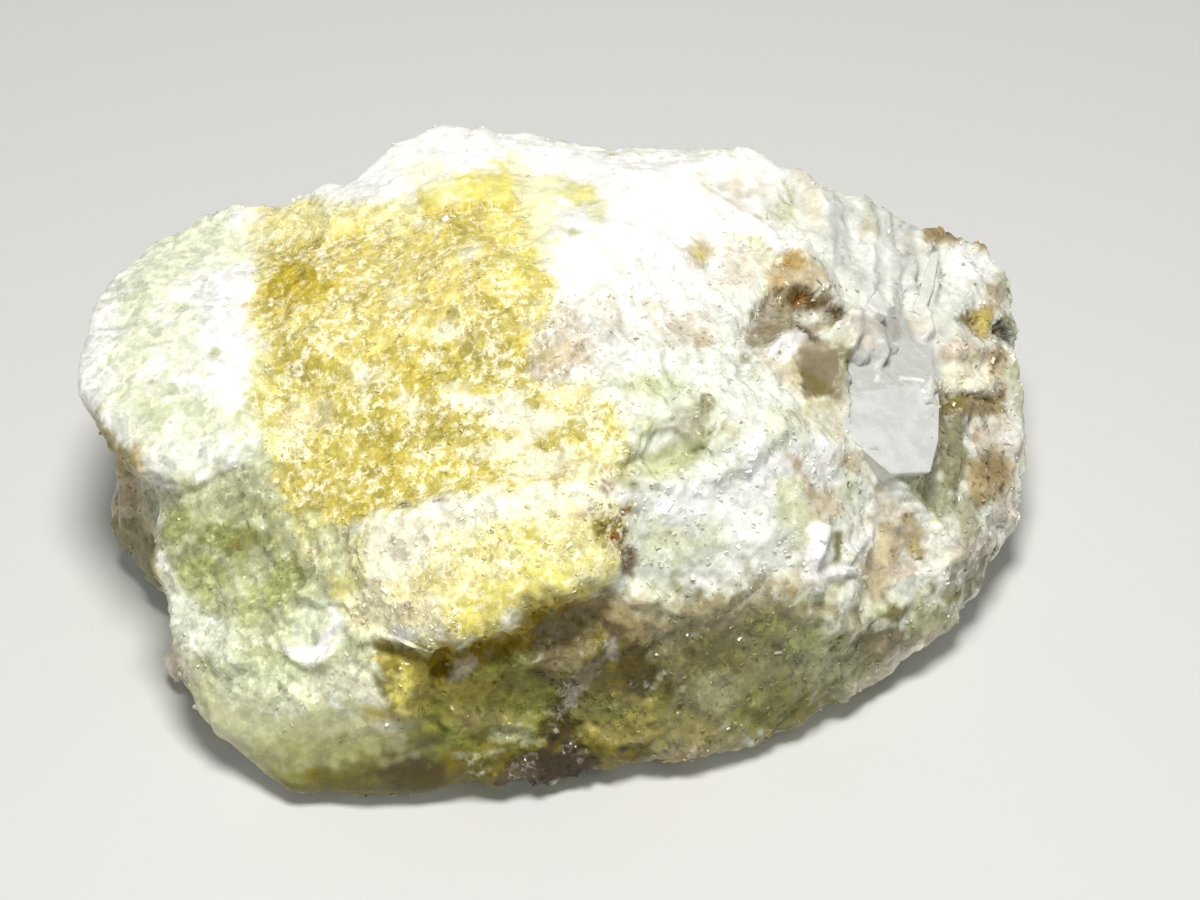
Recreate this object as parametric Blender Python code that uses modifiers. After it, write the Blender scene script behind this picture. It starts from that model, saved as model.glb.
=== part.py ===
"""A rough hand specimen of datolite: one piece of massive, grown-together crystal, 67 mm long.

It lies on a broken flat underneath. +X runs along its length, +Y to its high back and +Z up, and the
origin is under the middle of the box that it fills. The stone is blocked out from chunks, each the hull
of its corners. They are joined into one solid, hollowed, roughened, thinned to a working number of
triangles and cut flat underneath.
"""

import bmesh
import bpy
from mathutils import Vector

MM = 0.001

# Corners of each chunk in millimetres: along the length, towards the back, and up.
CHUNKS = {
    # The heart of the stone, from the foot of its front wall to the high middle.
    "heart": [
        (-17, -22.3, 1.5), (-7, -22.1, 1.5), (3, -20.3, 1.5), (11.5, -18.8, 1.5), (20.6, -14.3, 1.6),
        (-22.8, -17.9, 3), (-24.4, -17, 5.5), (-25.9, -12.9, 11), (-27.1, -9.5, 14),
        (-22.5, -17.5, 7), (-16.5, -20.5, 9), (-9.8, -20.5, 11), (-2, -20, 12), (6, -18, 14.5),
        (9.9, -16.4, 15.5), (15.2, -15.9, 13.5), (20.7, -13.4, 11.5),
        (-20, -8, 18.6), (-11.7, -14, 18), (-3, 1.5, 28.5), (4, -4, 28), (4.6, -12.8, 25),
        (13.8, -9.6, 23.5), (21.5, -5.7, 18), (-19.5, 0.6, 21.8), (-20.4, 17.1, 21.2),
        (-17.5, 17.4, 22.4), (-13.8, 18, 23.4), (10.3, 14.9, 26), (20, 14, 3), (-17, 12, 2), (-21, -8, 1), (-14, -17, -1), (10, -14, -1), (14, 10, -1),
        (-14, 8, -1), (-20, 16, 8),
    ],
    # The high back edge, which steps forward to its tallest corner on the left.
    "high_back": [
        (-13.8, 18, 23.4), (-12.6, 19.4, 23.8), (-9, 22.6, 24.2), (-2.4, 17.9, 25), (2.6, 15.5, 26),
        (10.3, 14.9, 26), (16.2, 18.3, 24), (-3, 1.5, 28), (4, -4, 27), (-20, 0, 18), (-9, 21.5, 11),
        (-17, 17.5, 9), (14, 17, 8), (-8, 17, 1), (-7, 15, -1), (10, 12, -1), (13, 15, 2),
    ],
    # The pale slab that stands out on the left, undercut below.
    "left_plate": [
        (-32.9, 0.4, 18), (-32.6, 10.3, 18), (-28.7, 17.8, 18), (-22.8, 19, 20), (-20.2, 17.6, 21.2),
        (-19.5, 0.6, 22), (-20.1, -6.8, 20), (-22.5, -8.2, 18.8), (-26.9, -7.8, 17), (-31.5, 1.8, 12),
        (-29, 14, 9), (-22, 15, 8), (-20, -6, 10),
    ],
    "left_foot": [
        (-31.5, 1.8, 12), (-32.2, -0.1, 4), (-29.9, 0.4, 1), (-29, 10, 2), (-29.5, 14, 12), (-24, -6, 12),
        (-23.5, -8, 3), (-20, -8, 1), (-18, 13, 1), (-21, 16.5, 12), (-24, 15, 5),
    ],
    # A small grey knob low down on the left.
    "knob": [
        (-28, -10.2, 3), (-28, -11.6, 1), (-25.4, -13.2, 1), (-26.2, -9.6, 5), (-20, -9, 7),
        (-20, -13, 0.5), (-21, -5, 1),
    ],
    # The yellow swelling in the middle of the front, with its lip over the hollow below.
    "yellow_lip": [
        (-12.6, -17.2, 15.5), (-11.5, -15.3, 19.3), (-13.6, -13.4, 19.3), (-7.1, -20.4, 15.8),
        (-4.5, -21, 15.3), (-0.6, -20.1, 17), (3.3, -18.8, 17.8), (5.6, -17.4, 18.8), (5.1, -14.9, 24.2),
        (-3.1, -14, 24.3), (-10, -14, 13), (-4, -16, 12), (4, -14, 14),
    ],
    "right_shoulder": [
        (10.3, 14.9, 26), (16.2, 18.3, 24), (20.4, 16.6, 22), (24.9, 17, 19), (27.3, 18.7, 18),
        (21.5, -5.7, 18), (27.1, 3.7, 16), (4.6, -6, 25), (20.3, 1.5, 22.5), (26, 16, 6), (12, 14, 2),
        (20, -10, 2),
    ],
    "right_end": [
        (27.3, 18.7, 18), (32, 19.6, 15.5), (33.9, 16.3, 13.5), (32.8, 7.6, 10.5), (33.8, 3, 8),
        (32.6, 0, 3), (27.1, 3.7, 16), (26.7, -3.4, 13), (28.1, -7.4, 9), (28, -8, 2.5),
        (20.6, -14.3, 1.6), (21.5, -5.7, 17), (30, 17, 5), (20, 14, 3), (24, 4, -1),
    ],
    # A cleavage block of clear crystal that stands out on the right.
    "clear_block": [
        (20, -1.2, 20.4), (19.3, -5.2, 18.9), (23.2, -6, 16), (26.4, -5, 15.2), (27.3, 2.4, 17.6),
        (22.5, 0.9, 20.2), (21, -2, 13), (25, -2, 10), (25, 4, 12),
    ],
}

# Hollows in the surface: the middle of each in millimetres, and its three half sizes.
HOLLOWS = {
    "front_scoop": ((2, -22.5, 7.5), (9.5, 4.2, 5.2)),
    "green_pocket": ((8.3, -12.8, 25.3), (2.3, 3.2, 2.6)),
    "brown_hollow": ((16.5, 0.5, 26.2), (3.6, 2.8, 3.2)),
}

SKIN = 0.9  # grid of the joined skin, in millimetres
# Roughness of the broken surface: the pattern, its scale and its full height, in millimetres.
ROUGHNESS = {
    "lumps": ("CLOUDS", 9.0, 1.5),
    "chips": ("VORONOI", 4.0, 0.9),
}
TRIANGLES_KEPT = 0.3  # share of the skin's triangles that the finished solid keeps
SLAB = 80.0  # side of the block that cuts the underside flat, in millimetres
MIDDLE = (0.65, 0.1)  # middle of the finished stone's box, in the same frame as the corners

COLOUR = (0.74, 0.76, 0.52)
ROUGH_FINISH = 0.42


def clear_scene():
    for thing in list(bpy.data.objects):
        bpy.data.objects.remove(thing)


def placed(point):
    """A point of the lists above, in metres from the part's own origin."""
    return Vector((point[0] - MIDDLE[0], point[1] - MIDDLE[1], point[2])) * MM


def stone_material():
    material = bpy.data.materials.new("pale datolite")
    material.use_nodes = True
    shader = material.node_tree.nodes["Principled BSDF"]
    shader.inputs["Base Color"].default_value = (*COLOUR, 1)
    shader.inputs["Roughness"].default_value = ROUGH_FINISH
    shader.inputs["Metallic"].default_value = 0.0
    return material


def chunk_of(name, corners, collection):
    """A chunk of stone with flat breaks between its corners."""
    mesh = bpy.data.meshes.new(name)
    shape = bmesh.new()
    for corner in corners:
        shape.verts.new(placed(corner))
    hull = bmesh.ops.convex_hull(shape, input=shape.verts)
    inside = [item for item in hull["geom_interior"] if isinstance(item, bmesh.types.BMVert)]
    bmesh.ops.delete(shape, geom=inside, context="VERTS")
    bmesh.ops.recalc_face_normals(shape, faces=shape.faces)
    shape.to_mesh(mesh)
    shape.free()
    thing = bpy.data.objects.new(name, mesh)
    collection.objects.link(thing)
    return thing


def hollow_of(name, middle, half_sizes, collection):
    """A ball squeezed to the hollow's half sizes."""
    mesh = bpy.data.meshes.new(name)
    shape = bmesh.new()
    bmesh.ops.create_icosphere(shape, subdivisions=3, radius=1)
    bmesh.ops.scale(shape, vec=Vector(half_sizes) * MM, verts=shape.verts)
    bmesh.ops.translate(shape, vec=placed(middle), verts=shape.verts)
    shape.to_mesh(mesh)
    shape.free()
    thing = bpy.data.objects.new(name, mesh)
    collection.objects.link(thing)
    return thing


def slab_below(collection):
    """A block whose top is the plane that the stone rests on."""
    bpy.ops.mesh.primitive_cube_add(size=SLAB * MM, location=(0, 0, -SLAB / 2 * MM))
    slab = bpy.context.object
    slab.name = "slab_below"
    for owner in list(slab.users_collection):
        owner.objects.unlink(slab)
    collection.objects.link(slab)
    return slab


def hide_helper(thing):
    thing.hide_render = True
    thing.display_type = "WIRE"


def add_boolean(stone, other, operation):
    hide_helper(other)
    boolean = stone.modifiers.new(operation.lower() + " " + other.name, "BOOLEAN")
    boolean.operation = operation
    boolean.object = other


def roughen(stone, name, pattern, scale, height):
    texture = bpy.data.textures.new(name, pattern)
    texture.noise_scale = scale * MM
    rough = stone.modifiers.new(name, "DISPLACE")
    rough.texture = texture
    rough.texture_coords = "LOCAL"
    rough.strength = height * MM
    rough.mid_level = 0.5


def main():
    clear_scene()
    specimen = bpy.data.collections.new("datolite specimen")
    helpers = bpy.data.collections.new("chunks and cutters")
    for collection in (specimen, helpers):
        bpy.context.scene.collection.children.link(collection)
    stone = chunk_of("datolite_crystal", CHUNKS["heart"], specimen)
    stone.data.materials.append(stone_material())
    for name, corners in CHUNKS.items():
        if name != "heart":
            add_boolean(stone, chunk_of(name, corners, helpers), "UNION")
    for name, (middle, half_sizes) in HOLLOWS.items():
        add_boolean(stone, hollow_of(name, middle, half_sizes, helpers), "DIFFERENCE")
    skin = stone.modifiers.new("even skin", "REMESH")
    skin.mode = "VOXEL"
    skin.voxel_size = SKIN * MM
    for name, (pattern, scale, height) in ROUGHNESS.items():
        roughen(stone, name, pattern, scale, height)
    thin = stone.modifiers.new("thin out", "DECIMATE")
    thin.ratio = TRIANGLES_KEPT
    add_boolean(stone, slab_below(helpers), "DIFFERENCE")


main()
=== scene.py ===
"""The looks of a rough hand specimen of datolite: one broken, granular stone of pale green, honey yellow
and white crystal, with a clear cleavage block on its right.

The stone's fine skin is made from the CAD solid, then sculpted and painted in millimetres. Features that
the eye would look for are placed by where they fall in a 1200 x 900 picture from the scene's own camera.
"""
import math

import bmesh
import bpy
import numpy as np
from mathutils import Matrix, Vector


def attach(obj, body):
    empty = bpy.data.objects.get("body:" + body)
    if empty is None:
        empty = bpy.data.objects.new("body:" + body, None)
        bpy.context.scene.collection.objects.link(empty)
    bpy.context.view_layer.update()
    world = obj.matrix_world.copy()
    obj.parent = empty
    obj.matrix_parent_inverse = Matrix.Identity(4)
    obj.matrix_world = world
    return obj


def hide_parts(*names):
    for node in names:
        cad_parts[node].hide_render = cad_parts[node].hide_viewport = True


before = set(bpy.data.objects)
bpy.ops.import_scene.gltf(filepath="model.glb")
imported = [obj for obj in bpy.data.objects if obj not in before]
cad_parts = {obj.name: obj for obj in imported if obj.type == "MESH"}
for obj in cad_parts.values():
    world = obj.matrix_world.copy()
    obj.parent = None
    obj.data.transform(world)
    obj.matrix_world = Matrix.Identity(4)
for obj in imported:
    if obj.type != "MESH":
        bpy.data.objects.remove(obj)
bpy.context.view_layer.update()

MM = 0.001

# ---------------------------------------------------------------- camera, in millimetres
PICTURE = (1200, 900)
LENS, SENSOR = 100.0, 36.0
ELEVATION = math.radians(43.0)
DISTANCE = 232.0
NEAREST = 5.0
AIM = np.array([2.65, -0.4, 13.0])
RIGHT = np.array([1.0, 0.0, 0.0])
UPWARD = np.array([0.0, math.sin(ELEVATION), math.cos(ELEVATION)])
TOWARDS = np.array([0.0, -math.cos(ELEVATION), math.sin(ELEVATION)])
EYE = AIM + DISTANCE * TOWARDS
FOCAL = PICTURE[0] * LENS / SENSOR

# ---------------------------------------------------------------- skin, in millimetres
COARSE = 0.53  # grid of the skin; the side towards the camera is twice as fine
FACING_FINE = -0.05  # least cosine to the line of sight of a fine face
SKIN_ROUNDS, NORMAL_ROUNDS = 9, 14  # how many times the points and the normals are evened out
SEEN_FROM, SEEN_WHOLE = -0.05, 0.18  # cosines between which the details in the picture come in
CRYSTAL_SIZES = (5.0, 2.2, 1.0, 0.5)
SEAM_SHADES = (0.0, 0.8, 0.8, 0.6)  # how much the crystals of each size count towards the seams, which the paint darkens as painted shade
SEAM_HEIGHT = 0.2  # height, in sizes, below which a crystal counts as seam
SWELL, SWELL_SIZE = 0.1, 3.0  # unevenness all over
FOOT_FADE = 1.2  # height below which the sculpting fades out


# ================================================================ noise
# Odd numbers that stir up the bits of a place, of the salt, and of what comes of them.
STIR_PLACE = [np.uint64(odd) for odd in (0x9E3779B97F4A7C15, 0xC2B2AE3D27D4EB4F, 0x165667B19E3779F9)]
STIR_SALT = 0x27D4EB2F165667C5
STIR_AGAIN = np.uint64(0x7FB5D329728EA185)
SMOOTH_SHIFT, CRYSTAL_SHIFT = 7.31, 3.17  # how far each salt moves a noise
SMOOTH_GAIN = 1.6  # brings smooth noise to about -1 to 1
FAR = 9.0  # further than any crystal's middle is from a point, in sizes
BLOCK_SEED, GRAIN_SEED = 7, 23
# The salt of each noise: any number. Finer octaves and the next crystals or clouds take the numbers after it.
FORM_SALTS, BEND_SALTS, CRYSTAL_SALT, SWELL_SALT = (11, 12), (21, 22, 23), 31, 36
CLOUD_SALT, PAINT_SALTS, DRIFT_SALT = 60, (80, 81), 57
LACE_SALTS, LACE_CRYSTAL_SALT, LACE_SWELL_SALT, CROWD_SALT = (91, 92, 93), 94, 95, 71


def scramble(whole, salt):
    """Three even random numbers from 0 to 1 for each row of whole numbers."""
    x, y, z = (whole[..., i].astype(np.uint64) * STIR_PLACE[i] for i in range(3))
    mixed = x ^ y ^ z ^ np.uint64(salt * STIR_SALT % 2**64)
    found = []
    for _ in range(3):
        mixed ^= mixed >> np.uint64(31)
        mixed *= STIR_AGAIN
        mixed ^= mixed >> np.uint64(27)
        found.append((mixed >> np.uint64(40)).astype(np.float64) / 2**24)
    return np.stack(found, -1)


def corners_round(reach):
    """Steps to a cell's neighbours, or to a grid point's corners for a reach of (0, 1)."""
    return [np.array([dx, dy, dz]) for dx in reach for dy in reach for dz in reach]


def smooth(points, size, salt):
    """Soft noise from about -1 to 1, with lumps about size across. Each salt gives another noise."""
    scaled = points / size + salt * SMOOTH_SHIFT
    corner = np.floor(scaled).astype(np.int64)
    part = scaled - corner
    blend = part * part * part * (part * (part * 6 - 15) + 10)
    total = np.zeros(len(points))
    for move in corners_round((0, 1)):
        slope = scramble(corner + move, salt) * 2 - 1
        weight = np.where(move == 1, blend, 1 - blend).prod(1)
        total += weight * ((part - move) * slope).sum(1)
    return total * SMOOTH_GAIN


def layered(points, size, salt, octaves=3):
    """Smooth noise with finer noise on it, each octave half as large and half as high."""
    return sum(smooth(points, size / 2**octave, salt + octave) / 2**octave for octave in range(octaves))


def noise_sum(points, layers, salt=0):
    """The sum of layers of smooth noise, each (height, size, salt)."""
    return sum(height * smooth(points, size, salt + own) for height, size, own in layers)


def noise_ways(points, layers, salts):
    """A shift at each point, with a part for each salt."""
    return np.stack([noise_sum(points, layers, salt) for salt in salts], 1)


def make_blocks(count=400):
    """Block shapes turned at random: each takes an offset to how far it is along the block's own sides."""
    chance = np.random.default_rng(BLOCK_SEED)
    turned, _ = np.linalg.qr(chance.normal(size=(count, 3, 3)))
    return turned / chance.uniform(0.55, 1.0, (count, 3, 1))


BLOCKS = make_blocks()


def crystals(points, size, salt):
    """Height, about -0.5 to 0.5 sizes, of blocky crystals grown into each other at all angles, and a
    random number for each crystal."""
    scaled = points / size + salt * CRYSTAL_SHIFT
    corner = np.floor(scaled).astype(np.int64)
    nearest = np.full(len(points), FAR)
    number = np.zeros(len(points))
    for move in corners_round((-1, 0, 1)):
        cell = corner + move
        chance = scramble(cell, salt + 50)
        block = BLOCKS[(chance[:, 0] * len(BLOCKS)).astype(int)]
        away = np.abs(np.einsum("nij,nj->ni", block, scaled - cell - scramble(cell, salt))).max(1)
        number = np.where(away < nearest, chance[:, 1], number)
        nearest = np.minimum(nearest, away)
    return 0.5 - nearest, number


def step(low, high, value):
    """0 up to low, 1 from high on, and eased between them. Low may be the greater of the two."""
    part = np.clip((value - low) / (high - low), 0, 1)
    return part * part * (3 - 2 * part)


def lay(values, part, over):
    """Move rows of values a part of the way to others, in place."""
    values += part[:, None] * (np.array(over) - values)


# ================================================================ places in the picture
def in_picture(points):
    """Where points in millimetres fall in the picture, in pixels."""
    from_eye = points - EYE
    depth = -(from_eye @ TOWARDS)
    return np.stack([PICTURE[0] / 2 + FOCAL * (from_eye @ RIGHT) / depth,
                     PICTURE[1] / 2 - FOCAL * (from_eye @ UPWARD) / depth], 1)


def from_line(spots, line):
    """Pixels from each spot to an open line."""
    nearest = np.full(len(spots), 1e9)
    for (ax, ay), (bx, by) in zip(line, line[1:]):
        side = np.array([bx - ax, by - ay], float)
        from_a = spots - np.array([ax, ay])
        along_side = np.clip(from_a @ side / (side @ side), 0, 1)
        nearest = np.minimum(nearest, ((from_a - along_side[:, None] * side) ** 2).sum(1))
    return np.sqrt(nearest)


def depth_inside(spots, outline):
    """How many pixels each spot is inside a closed outline, negative outside. An oval is
    (x, y, half width, half height)."""
    if isinstance(outline, tuple):
        x, y, half_x, half_y = outline
        away = np.hypot((spots[:, 0] - x) / half_x, (spots[:, 1] - y) / half_y)
        return (1 - away) * min(half_x, half_y)
    inside = np.zeros(len(spots), bool)
    for (ax, ay), (bx, by) in zip(outline, outline[1:] + outline[:1]):
        if ay != by:
            reach = ax + (spots[:, 1] - ay) * (bx - ax) / (by - ay)
            inside ^= ((ay > spots[:, 1]) != (by > spots[:, 1])) & (spots[:, 0] < reach)
    return from_line(spots, outline + outline[:1]) * np.where(inside, 1, -1)


def close_to(spots, outline, margin):
    """Which spots are within a margin of the box round an outline, an oval or a line."""
    box = np.array(outline)
    if isinstance(outline, tuple):
        box = box[:2] + np.outer((-1, 1), box[2:])
    return ((spots > box.min(0) - margin) & (spots < box.max(0) + margin)).all(1)


def covered(spots, outline, low, high, ragged=None):
    """From 0 where a spot is low pixels inside an outline to 1 where it is high pixels inside."""
    near = close_to(spots, outline, 3 * max(abs(low), abs(high)))
    depth = depth_inside(spots[near], outline)
    found = np.zeros(len(spots))
    found[near] = step(low, high, depth if ragged is None else depth + (high - low) * ragged[near])
    return found


def part_along(spots, start, end):
    """0 at the start, 1 at the end, and so on past them."""
    way = np.array(end) - np.array(start)
    return (spots - np.array(start)) @ way / (way @ way)


def along(spots, line, width):
    """From 1 on a line to 0 at about twice its width from it."""
    near = close_to(spots, line, 3 * width)
    found = np.zeros(len(spots))
    found[near] = np.exp(-((from_line(spots[near], line) / width) ** 2))
    return found


# ================================================================ skin
def place(name, mesh):
    """A new object in the scene."""
    thing = bpy.data.objects.new(name, mesh)
    bpy.context.scene.collection.objects.link(thing)
    return thing


def rows_of(things, name, kind, width):
    """One property of all the things in a mesh's list, with a row for each."""
    found = np.empty(len(things) * width, kind)
    things.foreach_get(name, found)
    return found.reshape(-1, width)


def triangles_of(mesh):
    """Its triangles, as rows of the numbers of their corners."""
    mesh.calc_loop_triangles()
    return rows_of(mesh.loop_triangles, "vertices", np.int32, 3)


def points_of(mesh):
    """Its points, in millimetres."""
    return rows_of(mesh.vertices, "co", np.float32, 3).astype(np.float64) / MM


def edges_of(mesh):
    return rows_of(mesh.edges, "vertices", np.int32, 2)


def unit(rows):
    """Rows of directions, each made one long."""
    return rows / np.maximum(np.linalg.norm(rows, axis=1, keepdims=True), 1e-12)


def normals_of(points, triangles):
    """The way out of the skin at each point."""
    a, b, c = (points[triangles[:, i]] for i in range(3))
    cross = np.cross(b - a, c - a)
    total = np.zeros_like(points)
    for corner in range(3):
        for axis in range(3):
            total[:, axis] += np.bincount(triangles[:, corner], cross[:, axis], len(points))
    return unit(total)


def averaged(values, edges, times, part=0.6):
    """Values at the points, each moved part of the way to its neighbours' mean, some times over."""
    count = np.bincount(edges.ravel(), minlength=len(values)).astype(float)[:, None]
    for _ in range(times):
        total = np.zeros_like(values)
        for one, other in ((0, 1), (1, 0)):
            for axis in range(values.shape[1]):
                total[:, axis] += np.bincount(edges[:, one], values[edges[:, other], axis], len(values))
        values = values + part * (total / np.maximum(count, 1) - values)
    return values


def fine_skin():
    """The CAD solid's skin on an even grid, twice as fine where the camera sees it."""
    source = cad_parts["datolite_crystal"]
    blank = place("blank", source.data.copy())
    grid = blank.modifiers.new("grid", "REMESH")
    grid.mode = "VOXEL"
    grid.voxel_size = COARSE * MM
    graph = bpy.context.evaluated_depsgraph_get()
    shape = bmesh.new()
    shape.from_mesh(blank.evaluated_get(graph).to_mesh())
    bpy.data.objects.remove(blank)
    shape.normal_update()
    sight = Vector(TOWARDS)
    seen = [face for face in shape.faces if face.normal.dot(sight) > FACING_FINE]
    edges = list({edge for face in seen for edge in face.edges})
    bmesh.ops.subdivide_edges(shape, edges=edges, cuts=1, use_grid_fill=True)
    bmesh.ops.triangulate(shape, faces=shape.faces)
    mesh = bpy.data.meshes.new("datolite_stone")
    shape.to_mesh(mesh)
    shape.free()
    return mesh


# ================================================================ shape
# Outlines in the picture, in its pixels. An oval is (x, y, half width, half height).
PLATE = [(60, 380), (95, 290), (150, 225), (240, 195), (272, 200), (258, 240), (258, 300), (262, 390),
         (247, 442), (225, 466), (195, 482), (165, 490), (150, 480), (100, 432)]
LIP_EDGE = [(420, 508), (480, 492), (560, 486), (600, 484), (628, 505), (626, 560), (606, 580), (580, 588),
            (560, 598), (548, 592), (528, 600), (515, 628), (498, 622), (470, 640), (452, 634), (430, 648),
            (404, 646)]
BULGE = [(352, 545), (372, 520)] + LIP_EDGE + [(376, 640), (354, 612), (350, 580)]
LIP_SWELLING = [(300, 560), (352, 520)] + LIP_EDGE + [(376, 644), (340, 650), (300, 640)]
UNDER_LIP = [(462, 650), (486, 642), (500, 632), (518, 636), (530, 612), (560, 602), (600, 592),
             (612, 602), (610, 628), (594, 650), (560, 662), (520, 664), (490, 668)]
SCALLOP = [(286, 640), (290, 612), (305, 600), (330, 598), (350, 612), (346, 640), (330, 656), (306, 660),
           (292, 652)]
GREEN_POCKET = [(640, 440), (668, 412), (690, 400), (712, 405), (716, 430), (708, 452), (690, 470),
                (660, 480), (640, 478), (628, 468)]
BROWN_HOLLOW = [(744, 330), (760, 300), (778, 288), (812, 287), (836, 296), (852, 310), (842, 322),
                (816, 334), (796, 328), (770, 338), (752, 348)]
RHOMB_FACE = [(786, 345), (812, 330), (846, 322), (852, 345), (846, 388), (818, 394), (800, 386)]
BLOCK_SEAT = [(856, 360), (866, 350), (904, 346), (926, 352), (934, 384), (934, 440), (928, 466),
              (896, 468), (872, 450), (854, 430), (852, 396)]
BLOCK_CORNER = [(844, 350), (866, 338), (888, 344), (884, 374), (856, 394), (846, 374)]
UNDER_SWELLING = [(340, 622), (372, 628), (430, 640), (440, 668), (400, 684), (346, 664)]
CORNER = [(912, 196), (965, 196), (1012, 236), (1004, 262), (960, 250), (925, 246)]
NODULE = [(492, 790), (500, 765), (540, 748), (575, 742), (600, 752), (590, 775), (560, 790), (520, 796)]
AMBER_HOLLOW = [(422, 650), (436, 640), (470, 652), (466, 672), (440, 684), (428, 672)]
UNDERSIDE = [(380, 690), (400, 640), (470, 648), (515, 634), (528, 606), (606, 586), (640, 612),
             (664, 680), (640, 790), (480, 800), (420, 712)]
EDGE_SCARP = [(960, 300), (975, 305), (992, 315), (990, 335), (975, 340), (962, 325)]
DARK_NOTCH = [(996, 322), (1010, 318), (1018, 330), (1010, 346), (998, 342)]
FACET = [(418, 186), (452, 168), (482, 156), (510, 160), (516, 202), (432, 210)]
HONEY_PATCH = [(258, 215), (300, 200), (415, 200), (430, 180), (512, 160), (522, 200), (548, 250),
               (562, 300), (546, 335), (524, 372), (600, 376), (630, 400), (630, 455), (604, 490),
               (480, 500), (350, 525), (296, 504), (270, 452), (256, 400)]
WHITE_TOP = [(262, 198), (350, 172), (430, 110), (520, 128), (640, 150), (780, 150), (800, 170),
             (745, 235), (690, 245), (640, 330), (560, 300), (540, 235), (520, 168), (425, 182), (345, 204)]
GRAINY = [(530, 345), (560, 300), (640, 250), (740, 230), (770, 285), (755, 340), (790, 390), (760, 425),
          (715, 400), (630, 400), (560, 385)]
GREEN_LEFT = [(150, 492), (225, 470), (262, 450), (300, 505), (352, 545), (362, 612), (400, 690),
              (300, 705), (205, 700), (170, 600)]
FOOT = [(190, 690), (300, 706), (400, 700), (470, 712), (480, 800), (290, 812), (215, 760)]
MID_BAND = [(620, 490), (690, 480), (735, 440), (770, 405), (805, 430), (818, 480), (800, 560),
            (745, 590), (700, 605), (640, 600)]
BLADES = [(790, 155), (850, 178), (925, 222), (952, 300), (945, 378), (850, 368), (860, 325), (800, 240)]
RIGHT_END = [(918, 215), (965, 215), (1005, 245), (1030, 290), (1020, 345), (1010, 410), (1035, 465),
             (1022, 530), (990, 560), (945, 480), (942, 300)]
LOW_RIGHT = [(640, 604), (745, 592), (800, 600), (830, 640), (930, 600), (990, 560), (942, 625), (850, 712),
             (760, 752), (640, 785), (600, 775), (640, 700)]
BROKEN_SIDE = [(104, 520), (135, 515), (158, 562), (162, 600), (122, 570)]
AROUND_POCKET = [(606, 376), (650, 368), (690, 384), (720, 404), (724, 440), (705, 486), (640, 486)]
TAN_LAYER = [(940, 394), (1004, 394), (1006, 416), (942, 416)]
HOLLOW_LEFT = [(430, 690), (470, 652), (520, 650), (530, 690), (560, 740), (480, 750), (420, 730)]
HOLLOW_RIGHT = [(572, 700), (600, 690), (650, 700), (660, 740), (620, 748), (584, 738)]
UPPER_CRUST = (429, 707, 16, 8)
FOOT_CRUST = (392, 728, 16, 7)
HOLLOW_CRUST = (576, 697, 20, 12)
LOWEST_CRUST = (512, 732, 22, 7)

# Outline, softness in pixels, and the slopes of the crystals of each size there.
TEXTURE = [
    (WHITE_TOP, 16, (0.08, 0.10, 0.08, 0.06)),
    (PLATE, 10, (0.05, 0.05, 0.03, 0.02)),
    (HONEY_PATCH, 10, (0.06, 0.10, 0.12, 0.12)),
    (FACET, 5, (0.01, 0.03, 0.05, 0.06)),
    (GREEN_LEFT, 14, (0.14, 0.26, 0.26, 0.16)),
    (FOOT, 14, (0.06, 0.05, 0.03, 0.03)),
    (GRAINY, 14, (0.12, 0.34, 0.40, 0.24)),
    (MID_BAND, 14, (0.06, 0.13, 0.18, 0.14)),
    (BLADES, 10, (0.30, 0.16, 0.08, 0.08)),
    (RIGHT_END, 10, (0.30, 0.34, 0.24, 0.20)),
    (LOW_RIGHT, 16, (0.12, 0.26, 0.26, 0.12)),
    (BULGE, 10, (0.08, 0.16, 0.20, 0.16)),
    (GREEN_POCKET, 6, (0.20, 0.40, 0.30, 0.12)),
    (CORNER, 8, (0.04, 0.16, 0.24, 0.20)),
    (UNDERSIDE, 8, (0.12, 0.34, 0.34, 0.18)),
    (BROWN_HOLLOW, 6, (0.10, 0.30, 0.34, 0.24)),
    (RHOMB_FACE, 4, (0.02, 0.03, 0.03, 0.04)),
    (BLOCK_SEAT, 5, (0.02, 0.02, 0.02, 0.02)),
    (SCALLOP, 5, (0.02, 0.03, 0.05, 0.08)),
]
OPEN_TEXTURE = (0.16, 0.24, 0.20, 0.12)
# Height in millimetres, pixels to reach it, outline, and lines that it grows along.
FORMS = [
    (0.6, 9, PLATE, [[(200, 240), (170, 440)]]),
    (1.4, 11, LIP_SWELLING, [[(430, 508), (448, 636)], [(316, 596), (446, 626)], [(648, 560), (540, 566)]]),
    (0.4, 14, UNDER_SWELLING, []), (0.4, 12, NODULE, []), (0.3, 5, FACET, []),
    (0.9, 26, CORNER, []), (-0.9, 10, UNDER_LIP, []), (-0.5, 9, SCALLOP, []), (-0.7, 8, GREEN_POCKET, []),
    (-1.4, 6, BROWN_HOLLOW, [[(775, 352), (798, 296)]]), (-0.9, 4, RHOMB_FACE, [[(782, 352), (836, 372)]]),
    (-0.5, 7, AMBER_HOLLOW, []), (-0.8, 6, EDGE_SCARP, []), (-1.6, 5, DARK_NOTCH, []),
    (-1.2, 6, BLOCK_SEAT, []), (-0.7, 6, BLOCK_CORNER, []),
]
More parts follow.
